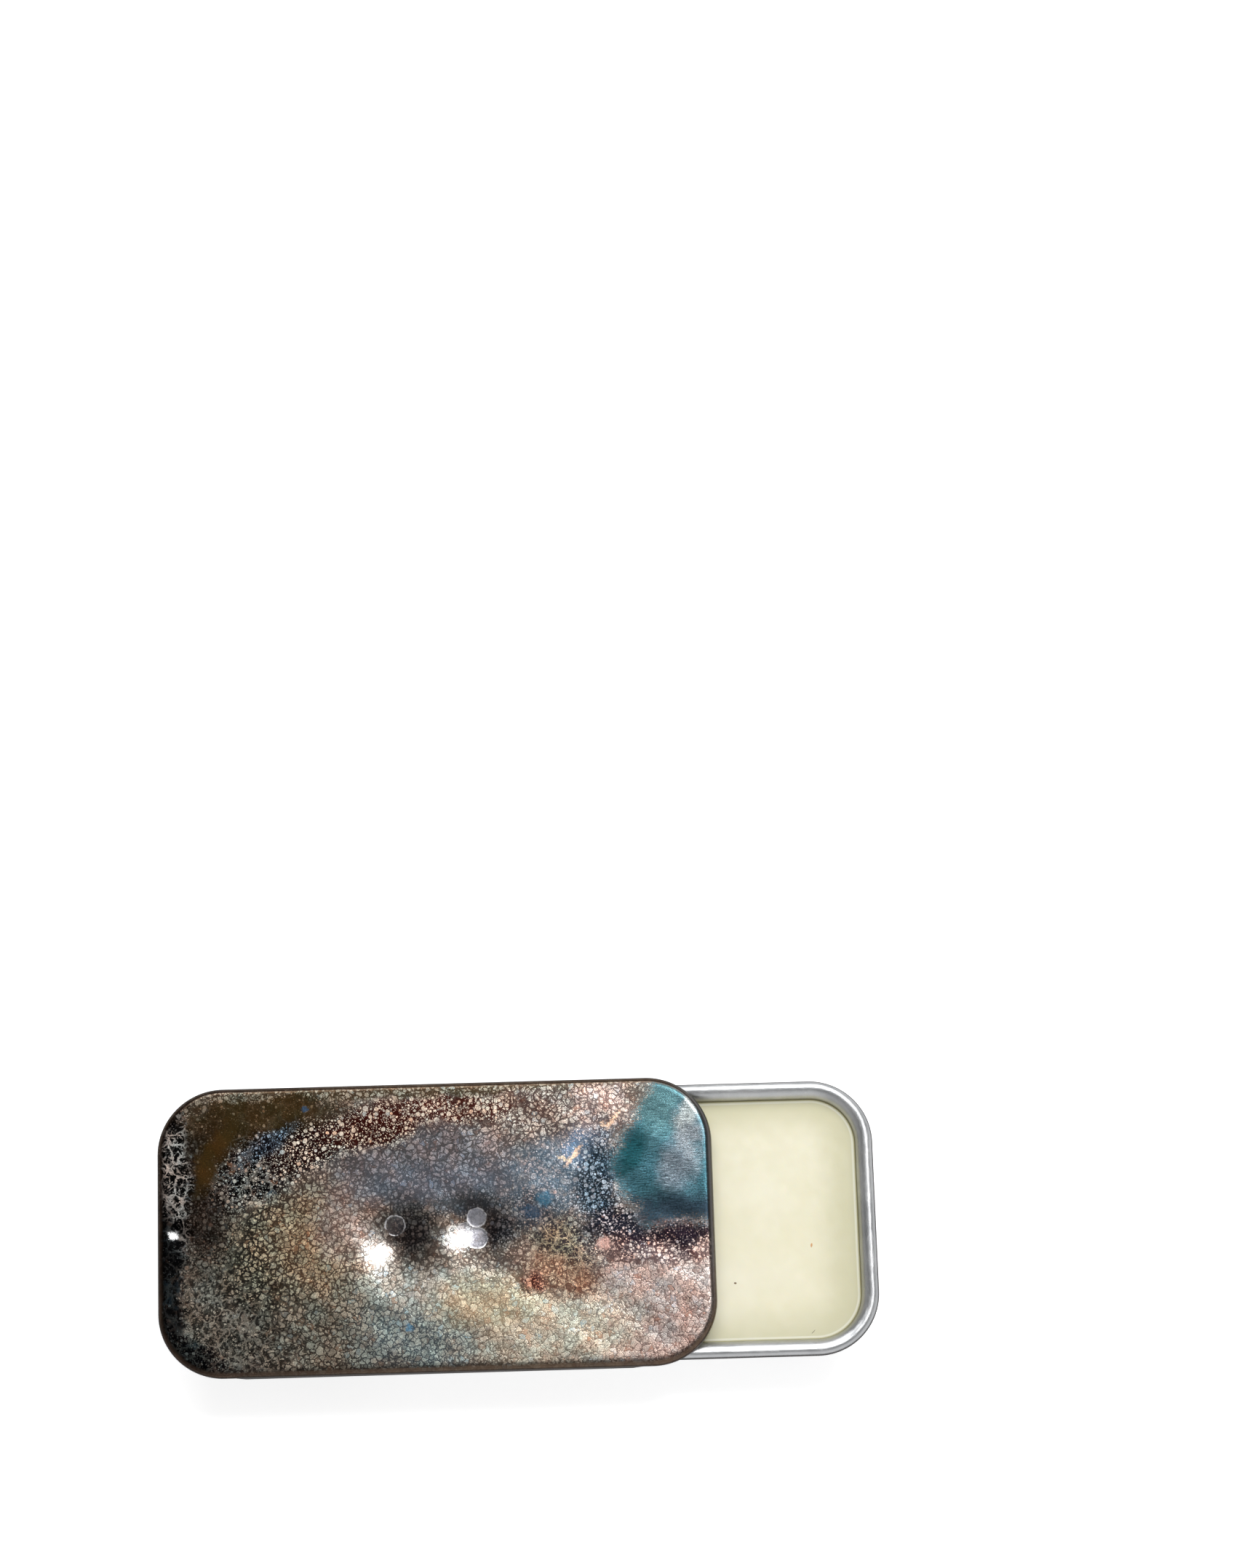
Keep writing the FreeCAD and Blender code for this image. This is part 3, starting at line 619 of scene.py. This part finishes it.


# ---------------------------------------------------------------- lid patina

# Regions of the patina in the order they are laid: centre, half size, angle, softness, colour of the dark
# ground, colour of the pale flakes on it, and how much there is of flakes and of pale veins.
# The tones are partly the patina's own colour and partly painted sheen: darker to the left, lighter to the
# lower right.
REGIONS = [
    ((22, -9), (14, 10), 0, 0.7, (96, 78, 74), (180, 166, 160), (0.68, 0.0)),
    ((11, -11.5), (11, 5.5), 0, 0.8, (118, 108, 94), (204, 199, 182), (0.68, 0.0)),
    ((-20, -9), (12, 10), 0, 0.8, (15, 11, 9), (148, 143, 132), (0.48, 0.65)),
    ((-10, -10.6), (9, 7), 0, 0.9, (50, 45, 38), (160, 157, 143), (0.61, 0.0)),
    ((-2, -12.0), (7.5, 5.0), 0, 0.9, (66, 75, 80), (164, 172, 165), (0.61, 0.0)),
    ((-18.5, -1.5), (5.5, 6.5), 0, 0.9, (12, 8, 5), (184, 178, 154), (0.53, 0.0)),
    ((-13, -1), (6, 6.5), 0, 0.9, (64, 44, 28), (184, 168, 140), (0.62, 0.0)),
    ((-9.5, 1), (4, 5), 0, 0.9, (98, 80, 72), (190, 174, 164), (0.60, 0.0)),
    ((0.4, -6.8), (8.6, 3.0), -3, 0.9, (100, 98, 92), (200, 202, 194), (0.66, 0.0)),
    ((5.5, -8.6), (6.5, 3.2), 0, 0.9, (146, 130, 106), (212, 202, 176), (0.62, 0.0)),
    ((-2, 8.5), (13, 5), 0, 0.8, (68, 66, 68), (136, 132, 136), (0.56, 0.0)),
    # Partly painted shade: the darker band above the dents.
    ((2, 4.6), (12, 3.0), 0, 0.9, (74, 78, 86), (130, 132, 140), (0.52, 0.0)),
    # Painted highlights: pale patches where the blazes on the two dents fall.
    ((-6.8, -2.4), (2.0, 2.9), 12, 0.9, (104, 98, 94), (204, 200, 194), (0.64, 0.0)),
    ((2.4, -1.4), (1.7, 1.5), 30, 0.9, (104, 100, 98), (204, 202, 198), (0.64, 0.0)),
    # Painted shade: dark patches on the far side of each dent and above the right weld marks.
    ((-2.6, -0.4), (2.6, 3.0), 0, 0.9, (36, 33, 34), (100, 94, 92), (0.34, 0.0)),
    ((3.4, 2.4), (5.0, 1.5), 0, 0.9, (60, 62, 66), (98, 100, 104), (0.26, 0.0)),
    ((7.4, -0.6), (2.3, 2.3), 0, 0.9, (34, 33, 36), (116, 112, 114), (0.32, 0.0)),
    ((13.5, 5.5), (6, 5), 20, 0.8, (62, 78, 90), (132, 132, 136), (0.42, 0.0)),
    ((16.8, 8.4), (3, 2.2), 25, 0.8, (96, 118, 142), (176, 174, 176), (0.24, 0.0)),
    ((11, 1.2), (3.0, 2.6), 0, 0.8, (46, 50, 58), (126, 122, 122), (0.26, 0.3)),
    ((14.5, -2.4), (4.6, 3.4), -10, 0.8, (50, 42, 43), (140, 129, 108), (0.26, 0.75)),
    ((13.5, -5.6), (4.6, 2.2), -15, 0.8, (84, 54, 42), (178, 152, 128), (0.48, 0.5)),
    ((10.6, -6.6), (1.7, 1.1), 0, 0.7, (70, 34, 28), (190, 150, 128), (0.36, 0.0)),
    ((12.5, 12.8), (8, 3.2), 4, 0.8, (66, 52, 48), (182, 172, 162), (0.58, 0.0)),
    ((18.6, 13.2), (3.4, 3.4), -20, 0.8, (92, 78, 76), (192, 178, 170), (0.58, 0.0)),
    ((18.4, 4.4), (3.0, 6.8), -8, 0.8, (15, 27, 37), (114, 128, 140), (0.36, 0.0)),
    ((24.5, -3.4), (7.5, 1.8), -4, 0.8, (60, 43, 47), (180, 163, 156), (0.40, 0.0)),
    ((24.8, -1.2), (7.4, 1.9), -3, 0.6, (22, 12, 22), (140, 126, 122), (0.20, 0.0)),
    ((20.6, -0.2), (3.6, 1.5), -12, 0.8, (18, 19, 30), (140, 134, 136), (0.24, 0.0)),
    ((-20, 12.4), (11, 4.6), 6, 0.7, (50, 37, 16), (108, 96, 76), (0.14, 0.1)),
    ((-26, 4), (4.4, 8.5), 0, 0.8, (20, 11, 5), (78, 72, 66), (0.28, 0.25)),
    ((-24.6, 8.6), (1.7, 4.8), -25, 0.8, (64, 46, 18), (92, 78, 52), (0.08, 0.0)),
    ((-19.5, 6.8), (5.6, 4.0), 30, 0.7, (3, 2, 3), (180, 180, 172), (0.24, 0.25)),
    ((-13.6, 9.4), (6, 3.2), 16, 0.7, (24, 3, 1), (208, 200, 186), (0.29, 0.0)),
    ((-18.6, 9.9), (4.2, 1.1), 36, 0.9, (9, 9, 14), (130, 150, 168), (0.27, 0.1)),
    ((-6, 11.6), (6.8, 2.8), 12, 0.7, (44, 9, 3), (190, 178, 162), (0.31, 0.0)),
    ((2.5, 13.3), (9, 2.1), 0, 0.8, (52, 16, 8), (176, 164, 150), (0.35, 0.0)),
    ((-2, 15.7), (26, 0.9), 1, 0.8, (58, 46, 30), (156, 152, 138), (0.54, 0.0)),
    ((-29.4, 5), (2.0, 11), 0, 0.5, (2, 1, 1), (146, 142, 138), (0.12, 1.0)),
    ((-30.2, -6), (2.2, 9.5), 0, 0.5, (2, 2, 3), (72, 76, 76), (0.12, 0.25)),
    ((-27.8, -14.0), (5.0, 2.5), -36, 0.6, (2, 2, 4), (96, 100, 96), (0.18, 0.3)),
]
# Cells in a millimetre, for the crazing and for the coarse and fine nets of veins.
CRAZING_CELLS = 1.6
VEIN_CELLS, FINE_VEIN_CELLS = 0.55, 1.5
# Layers of flakes and droplets, the smallest first: cells in a millimetre, and a shift that sets them apart.
FLAKE_LAYERS = [(6.5, (2, 5, 0)), (4.2, (4, 4, 0)), (2.6, (1, 9, 0)), (1.5, (7, 3, 0))]
# Tones of the brushed teal pane, laid in the same way: centre, half size, angle, softness, colour of the dark
# streaks and of the light ones.
PANE_TONES = [
    ((25.2, 12.4), (2.8, 3.6), -20, 0.9, (22, 46, 50), (66, 90, 93)),
    ((28.4, 9.6), (1.6, 4.4), 0, 0.9, (34, 45, 50), (100, 105, 109)),
    ((28.8, 12.6), (1.3, 2.4), -35, 0.9, (48, 56, 58), (128, 134, 134)),
    ((26.8, 5.6), (2.2, 2.8), 0, 0.9, (24, 38, 46), (92, 100, 106)),
    ((21.4, 7.4), (1.6, 4.6), -28, 0.9, (5, 26, 30), (24, 58, 64)),
    ((26.0, 0.9), (7.5, 2.2), 0, 0.8, (8, 16, 24), (36, 48, 57)),
]
# The pane has no flakes: points on its sides with the directions in.
PANE_SIDES = [
    ((19.9, 8.0), (0.87, -0.49)),
    ((20.0, 4.6), (0.83, 0.56)),
    ((25, -0.7), (-0.03, 1.0)),
]
# Short marks: centre, half size, angle, colour.
STROKES = [
    ((15.5, 7.5), (1.5, 0.28), 55, (206, 172, 140)),
    ((14.3, 7.2), (0.8, 0.2), -25, (186, 168, 144)),
    ((20.0, 11.4), (1.3, 0.25), 50, (206, 172, 146)),
    ((19.1, 10.8), (0.7, 0.2), -25, (190, 162, 138)),
    # Painted highlight: a pale spot on the small dent at the left end.
    ((-29.15, -0.3), (0.6, 0.5), 0, (222, 222, 222)),
    ((12.1, 2.7), (1.0, 0.9), 0, (50, 92, 112)),
    ((10.6, 1.3), (1.2, 0.8), -20, (34, 52, 70)),
    ((-14.4, 13.6), (0.35, 0.3), 0, (48, 74, 100)),
    ((-3.2, -11.2), (0.5, 0.4), 0, (78, 130, 162)),
    ((18.6, -2.5), (0.85, 0.75), 0, (196, 156, 144)),
    ((9.5, -7.2), (0.14, 0.7), 8, (18, 10, 8)),
    ((10.0, -7.7), (0.12, 0.4), 40, (18, 10, 8)),
    ((15.1, -7.6), (0.12, 0.5), -25, (22, 12, 10)),
    ((17.6, -10.2), (0.09, 0.6), 0, (24, 14, 12)),
    ((17.7, -11.6), (0.09, 0.35), 0, (24, 14, 12)),
]


def spot(nodes, place, centre, size, angle, softness):
    """A soft-edged oval, 1 inside."""
    away = nodes.vector("LENGTH", nodes.place(place, (*centre, 0), angle, (*size, 1)))
    return nodes.smooth(away, 1.0 + softness * 0.45, 1.0 - softness * 0.65)


def flakes(nodes, place, scale, cover, shift):
    """Cells that shrink to round droplets where cover is low: (1 on one, 1 near one, its random numbers)."""
    away, luck = nodes.cells(nodes.vector("ADD", place, shift), scale)
    chance = nodes.split(luck)
    largest = nodes.plus(nodes.math("MINIMUM", cover, 0.45), 0.06)
    beyond = nodes.math("SUBTRACT", away, nodes.times(largest, nodes.plus(nodes.times(chance[0], 0.9), 0.3)))
    share = nodes.smooth(cover, 0.3, 0.65, 0.75, 0.4)
    there = nodes.smooth(nodes.math("SUBTRACT", share, chance[1]), 0, 0.02)
    on = nodes.times(nodes.smooth(beyond, 0.05, -0.05), there)
    halo = nodes.times(there, nodes.smooth(cover, 0.35, 0.6, 1.0, 0.2))
    near = nodes.math("MAXIMUM", on, nodes.times(nodes.smooth(beyond, 0.17, 0.06), halo))
    return on, near, luck


def lid_patina():
    """Heat-coloured, crazed tinplate: pale flakes, droplets and veins on a dark ground, region by region."""
    nodes = Nodes(bpy.data.materials.new("lid_patina"))
    place = nodes.millimetres((LID_X, 0, LID_TOP))
    flat = nodes.vector("MULTIPLY", place, (1, 1, 0))
    warped = nodes.jitter(nodes.jitter(nodes.jitter(flat, 0.2, 2.4), 0.9, 1.5), 3.5, 0.8)
    x, y, z = nodes.split(place)

    ground, pale, style = linear(72, 62, 56), linear(160, 152, 142), (0.5, 0.1, 0, 1)
    for centre, size, angle, softness, dark_tone, pale_tone, weights in REGIONS:
        share = spot(nodes, warped, centre, size, angle, softness)
        ground = nodes.mix(share, ground, linear(*dark_tone))
        pale = nodes.mix(share, pale, linear(*pale_tone))
        style = nodes.mix(share, style, (*weights, 0, 1))
    cover, veined = nodes.split(style)[:2]

    # The brushed pane.
    grain = nodes.noise(place, 5.5, 3, 0.65)
    pane, wandering = 1.0, nodes.jitter(nodes.jitter(flat, 0.25, 3.0), 1.3, 1.2, 4)
    for point, inward in PANE_SIDES:
        inside = nodes.vector("DOT_PRODUCT", nodes.vector("SUBTRACT", wandering, (*point, 0)), (*inward, 0))
        pane = nodes.times(pane, nodes.smooth(nodes.plus(inside, nodes.times(grain, 5)), 1.6, 3.4))
    teal, light_teal = linear(7, 34, 41), linear(54, 82, 90)
    for centre, size, angle, softness, dark_tone, pale_tone in PANE_TONES:
        share = spot(nodes, warped, centre, size, angle, softness)
        teal = nodes.mix(share, teal, linear(*dark_tone))
        light_teal = nodes.mix(share, light_teal, linear(*pale_tone))
    ground = nodes.mix(pane, ground, teal)
    pale = nodes.mix(pane, pale, light_teal)

    # Where there are most flakes they are crazing, with dark cracks; layers of separate flakes lie on it.
    full = nodes.smooth(cover, 0.32, 0.66)
    crazing = nodes.jitter(nodes.jitter(place, 0.7, 0.7), 2.4, 0.55, 4)
    cell_edge, _ = nodes.cells(crazing, CRAZING_CELLS, "DISTANCE_TO_EDGE")
    _, luck = nodes.cells(crazing, CRAZING_CELLS)
    crack = nodes.plus(cell_edge, nodes.math("MULTIPLY_ADD", cover, 0.55, -0.41))
    crack = nodes.smooth(nodes.plus(crack, nodes.times(grain, 0.26)), 0.20, 0.08)
    paleness = nodes.smooth(nodes.split(luck)[2], 0, 1, nodes.smooth(cover, 0.4, 0.68, 0.2, 0.55), 1.0)
    mask = nodes.times(full, paleness)
    rounder = nodes.jitter(place, 1.6, 0.22)
    for scale, shift in FLAKE_LAYERS:
        on, near, chance = flakes(nodes, rounder, scale, cover, shift)
        mask = nodes.plus(nodes.times(mask, nodes.math("SUBTRACT", 1.0, near)), on)
        luck = nodes.mix(on, luck, chance)
    cracked = nodes.times(crack, nodes.smooth(full, 0, 0.6, 0.1, 0.95))
    mask = nodes.times(mask, nodes.math("SUBTRACT", 1.0, cracked))

    # Pale veins.
    branching = nodes.jitter(nodes.jitter(place, 0.8, 1.1, 3), 3.5, 0.3)
    vein_edge, _ = nodes.cells(branching, VEIN_CELLS, "DISTANCE_TO_EDGE")
    fine_edge, _ = nodes.cells(branching, FINE_VEIN_CELLS, "DISTANCE_TO_EDGE")
    here = nodes.smooth(nodes.noise(place, 1.3, 2), 0.42, 0.6)
    fine = nodes.times(nodes.smooth(fine_edge, 0.09, 0.02), here)
    vein = nodes.times(nodes.math("MAXIMUM", nodes.smooth(vein_edge, 0.07, 0.02), fine), veined)

    brushed = nodes.noise(nodes.vector("MULTIPLY", place, (0.8, 10, 1)), 1, 4, 0.8)
    streak = nodes.smooth(nodes.plus(nodes.times(brushed, 0.75), nodes.times(grain, 0.25)), 0.33, 0.67)
    mask = nodes.add("ShaderNodeMix", {0: pane, 2: nodes.math("MAXIMUM", mask, vein), 3: streak})

    # Tones: each flake lighter or darker, warmer or cooler than its region.
    random = nodes.split(luck)
    tint = nodes.mix(random[2], linear(255, 190, 150), linear(178, 222, 255))
    tinting = nodes.times(nodes.smooth(random[1], 0.35, 0.95), nodes.smooth(full, 0, 1, 0.9, 0.6))
    plain = nodes.math("MAXIMUM", pane, veined)
    tinting = nodes.times(tinting, nodes.smooth(plain, 0.2, 0.9, 1.0, 0.1))
    flake = nodes.scaled(nodes.mix(tinting, pale, tint, "MULTIPLY"), nodes.smooth(full, 0, 1, 1.35, 1.0))
    darkest = nodes.smooth(pane, 0, 1, 0.75, 1.12)
    flake = nodes.scaled(flake, nodes.smooth(random[0], 0, 1, 1.12, darkest))
    colour = nodes.mix(mask, ground, flake)
    cooler = nodes.smooth(nodes.noise(place, 0.38, 3, 0.6), 0.35, 0.65)
    blotch = nodes.mix(cooler, linear(255, 236, 226), linear(232, 242, 244))
    colour = nodes.mix(nodes.smooth(pane, 0, 1, 0.75, 0.1), colour, blotch, "MULTIPLY")
    speckle = nodes.smooth(nodes.noise(place, 8, 2, 0.6), 0.3, 0.7, 0.72, 1.28)
    colour = nodes.scaled(colour, speckle)

    for centre, size, angle, tone in STROKES:
        share = spot(nodes, nodes.jitter(flat, 2.2, 0.9), centre, size, angle, 0.7)
        share = nodes.times(share, nodes.smooth(grain, 0.35, 0.65, 0.5, 0.85))
        colour = nodes.mix(share, colour, linear(*tone))

    # Weld marks are pressed smooth, with a painted highlight round their rim.
    welded, rim = 0.0, 0.0
    for centre, radius, dip, paleness in WELD_MARKS:
        away = nodes.vector("LENGTH", nodes.vector("SUBTRACT", nodes.jitter(flat, 3, 0.25), (*centre, 0)))
        disc = nodes.smooth(away, radius + 0.05, radius - 0.05)
        edge = nodes.smooth(nodes.math("ABSOLUTE", nodes.math("SUBTRACT", away, radius)), 0.13, 0.02)
        welded = nodes.math("MAXIMUM", welded, nodes.times(disc, paleness))
        rim = nodes.math("MAXIMUM", rim, nodes.times(edge, dip / 0.014))
    mottled = nodes.smooth(nodes.noise(place, 1.8, 4, 0.7), 0.34, 0.6, 0.55, 1.0)
    colour = nodes.mix(nodes.times(welded, mottled), colour, linear(196, 196, 206))
    # Painted highlight: a broken white line round each weld mark's rim.
    broken = nodes.smooth(nodes.noise(place, 1.4, 2), 0.42, 0.58)
    colour = nodes.mix(nodes.times(rim, nodes.times(broken, 0.8)), colour, linear(240, 238, 240))

    # The rolled edge and the flanges are a plain brown: painted shade makes it near black on the left,
    # painted sheen grey on the right.
    edge = nodes.inset(flat, LID_HALF, LID_CORNER)
    edge_band = nodes.smooth(nodes.plus(edge, nodes.times(grain, 0.4)), 0.95, 0.6)
    edge_band = nodes.math("MAXIMUM", edge_band, nodes.smooth(z, -0.45, -0.75))
    edge_brown_and_shade = nodes.mix(nodes.smooth(x, -30, 4), linear(38, 30, 25), linear(92, 76, 62))
    edge_brown_and_shade = nodes.mix(nodes.smooth(nodes.noise(place, 0.5, 4, 0.7), 0.3, 0.7), edge_brown_and_shade, linear(70, 56, 46))
    # Painted sheen: grey at the front-right corner.
    front_sheen = nodes.times(nodes.smooth(x, 25, 30), nodes.smooth(y, -12, -3))
    edge_brown_and_shade = nodes.mix(front_sheen, edge_brown_and_shade, linear(98, 94, 92))
    # Warm brown patches on the lower skirt and the flanges.
    lower = nodes.smooth(z, -0.9, -1.3)
    warm_patches = nodes.times(nodes.smooth(nodes.noise(place, 0.9, 5, 0.75), 0.5, 0.66), lower)
    edge_brown_and_shade = nodes.mix(nodes.times(warm_patches, 0.8), edge_brown_and_shade, linear(96, 56, 34))
    colour = nodes.mix(nodes.times(edge_band, 0.9), colour, edge_brown_and_shade)

    metallic = nodes.smooth(nodes.math("MAXIMUM", pane, edge_band), 0, 1, 0.8, 0.96)
    rough = nodes.plus(nodes.smooth(grain, 0.3, 0.7, 0.13, 0.21), nodes.times(mask, 0.05))
    rough = nodes.math("SUBTRACT", rough, nodes.times(welded, 0.05))
    # The height leaves the regions out, which keeps the bump's share of the shader small.
    groove = nodes.smooth(cell_edge, 0.14, 0.04)
    height = nodes.plus(nodes.times(grain, 0.8), nodes.times(groove, -0.4))
    height = nodes.times(height, nodes.smooth(nodes.math("MAXIMUM", pane, edge_band), 0, 1, 1.0, 0.25))
    height = nodes.plus(height, nodes.times(brushed, 0.5))
    return nodes.finish(Base_Color=colour, Metallic=metallic, Roughness=rough, Specular_IOR_Level=0.15,
                        Normal=nodes.bump(height, 0.0035))


# ---------------------------------------------------------------- stage, light and camera

# Half the floor's side, in metres.
FLOOR_REACH = 3.0
# The world's strength is 1, apart from the direction it is dimmest towards and the left.
DIM_TOWARDS = (0, 0.37, 0.93)
ZENITH_LIGHT = 0.28
LEFT_LIGHT = 0.5
# Softboxes: name, direction from the lid's centre, distance, width and height in metres, radiance.
SOFTBOXES = [
    ("key", (0.165, 0.26, 0.951), 1.2, 0.17, 0.17, 24.5),
    ("top", (0.12, 0.24, 0.963), 1.25, 0.56, 0.46, 0.92),
    ("fill", (0.05, 0.66, 0.75), 0.6, 0.55, 0.34, 3.5),
]


def make_floor():
    """A pale matt floor.

    The camera sees it white, apart from the tin's shadow. The tin's metal mirrors a darker floor close by, as
    painted shade, and a white one further off.
    """
    corners = [(x, y, 0) for x, y in ((-1, -1), (1, -1), (1, 1), (-1, 1))]
    data = bpy.data.meshes.new("floor")
    data.from_pydata([(FLOOR_REACH * x, FLOOR_REACH * y, z) for x, y, z in corners], [], [(0, 1, 2, 3)])
    nodes = Nodes(bpy.data.materials.new("floor_white"))
    path = nodes.light_path()
    shade = nodes.mix(path["Is Camera Ray"], linear(190, 190, 191), linear(240, 240, 240))
    nodes.finish(Base_Color=shade, Roughness=0.9)
    place = nodes.millimetres()
    seen = nodes.smooth(nodes.vector("LENGTH", place), 60, 260, 0.62, 1.0)
    # Painted shade: close to the tin the floor that the metal mirrors has no glow.
    stretched = nodes.vector("MULTIPLY", place, (0.5, 1, 1))
    mirrored = nodes.smooth(nodes.vector("LENGTH", stretched), 30, 130, 0.0, 1.0)
    bounced = nodes.math("MAXIMUM", path["Is Glossy Ray"], path["Is Transmission Ray"])
    strength = nodes.math("MAXIMUM", nodes.times(path["Is Camera Ray"], seen), nodes.times(bounced, mirrored))
    glow = nodes.add("ShaderNodeEmission", {"Strength": strength})
    both = nodes.add("ShaderNodeAddShader", {0: nodes.shader.outputs[0], 1: glow})
    nodes.plug(nodes.tree.nodes["Material Output"].inputs["Surface"], both)
    finished("floor", data, [nodes.owner])


def make_world():
    """A white surround, dimmer overhead and on the left; the camera sees it plain white."""
    nodes = Nodes(bpy.data.worlds.new("studio"), "Background")
    SCENE.world = nodes.owner
    direction = nodes.add("ShaderNodeTexCoord")
    overhead = nodes.smooth(nodes.vector("DOT_PRODUCT", direction, DIM_TOWARDS), 0.25, 0.8, 1.0, ZENITH_LIGHT)
    across = nodes.smooth(nodes.split(direction)[0], -0.6, 0.1, LEFT_LIGHT, 1.0)
    seen = nodes.light_path()["Is Camera Ray"]
    level = nodes.math("MAXIMUM", seen, nodes.times(overhead, across))
    nodes.finish(Color=(1, 1, 1, 1), Strength=level)


def make_lights():
    """Softboxes that face the lid's centre; one's radiance is the same whatever its size."""
    centre = Vector((LID_X, 0, LID_TOP)) * MM
    for name, direction, distance, width, height, radiance in SOFTBOXES:
        light = bpy.data.lights.new(name, "AREA")
        light.shape = "RECTANGLE"
        light.size, light.size_y = width, height
        light.energy = radiance * math.pi * width * height
        item = bpy.data.objects.new(name, light)
        back = Vector(direction).normalized()
        item.location = centre + back * distance
        item.rotation_euler = back.to_track_quat("Z", "Y").to_euler()
        item.visible_camera = False
        SCENE.collection.objects.link(item)


def make_camera():
    """The camera stands over the tin, nearly square to its top."""
    camera = bpy.data.objects.new("camera", bpy.data.cameras.new("camera"))
    camera.data.sensor_width = 36
    camera.data.lens = 100
    camera.data.clip_start = 0.05
    position = Vector((-0.008311, -0.075352, 0.49392))
    right = Vector((0.99935, -0.03164, 0.01737)).normalized()
    back = Vector((-0.02479, -0.25213, 0.96737)).normalized()
    up = back.cross(right).normalized()
    right = up.cross(back)
    turn = Matrix((right, up, back)).transposed()
    camera.matrix_world = Matrix.Translation(position) @ turn.to_4x4()
    SCENE.collection.objects.link(camera)
    SCENE.camera = camera


# ---------------------------------------------------------------- the tin

pan_tinplate = satin_tinplate("pan_tinplate", linear(180, 182, 184), linear(198, 199, 200), rim=True)
inside_tinplate = satin_tinplate("inside_tinplate", linear(150, 148, 144), linear(186, 184, 178), 0.3)
patina = lid_patina()

PIECES = [
    (make_pan([pan_tinplate]), "pan", "base_pan", "tinplate_satin"),
    (make_polish(polish_wax()), "pan", "polish_fill", "polish"),
    (make_lid([patina, inside_tinplate]), "lid", "sliding_lid", "tinplate_patina"),
    (make_strip(inside_tinplate), "lid", "stop_strip", "tinplate_inside"),
]
for piece, body, node, slot in PIECES:
    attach(piece, body)
    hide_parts(node)

make_floor()
make_world()
make_lights()
make_camera()
SCENE.view_settings.view_transform = "Standard"
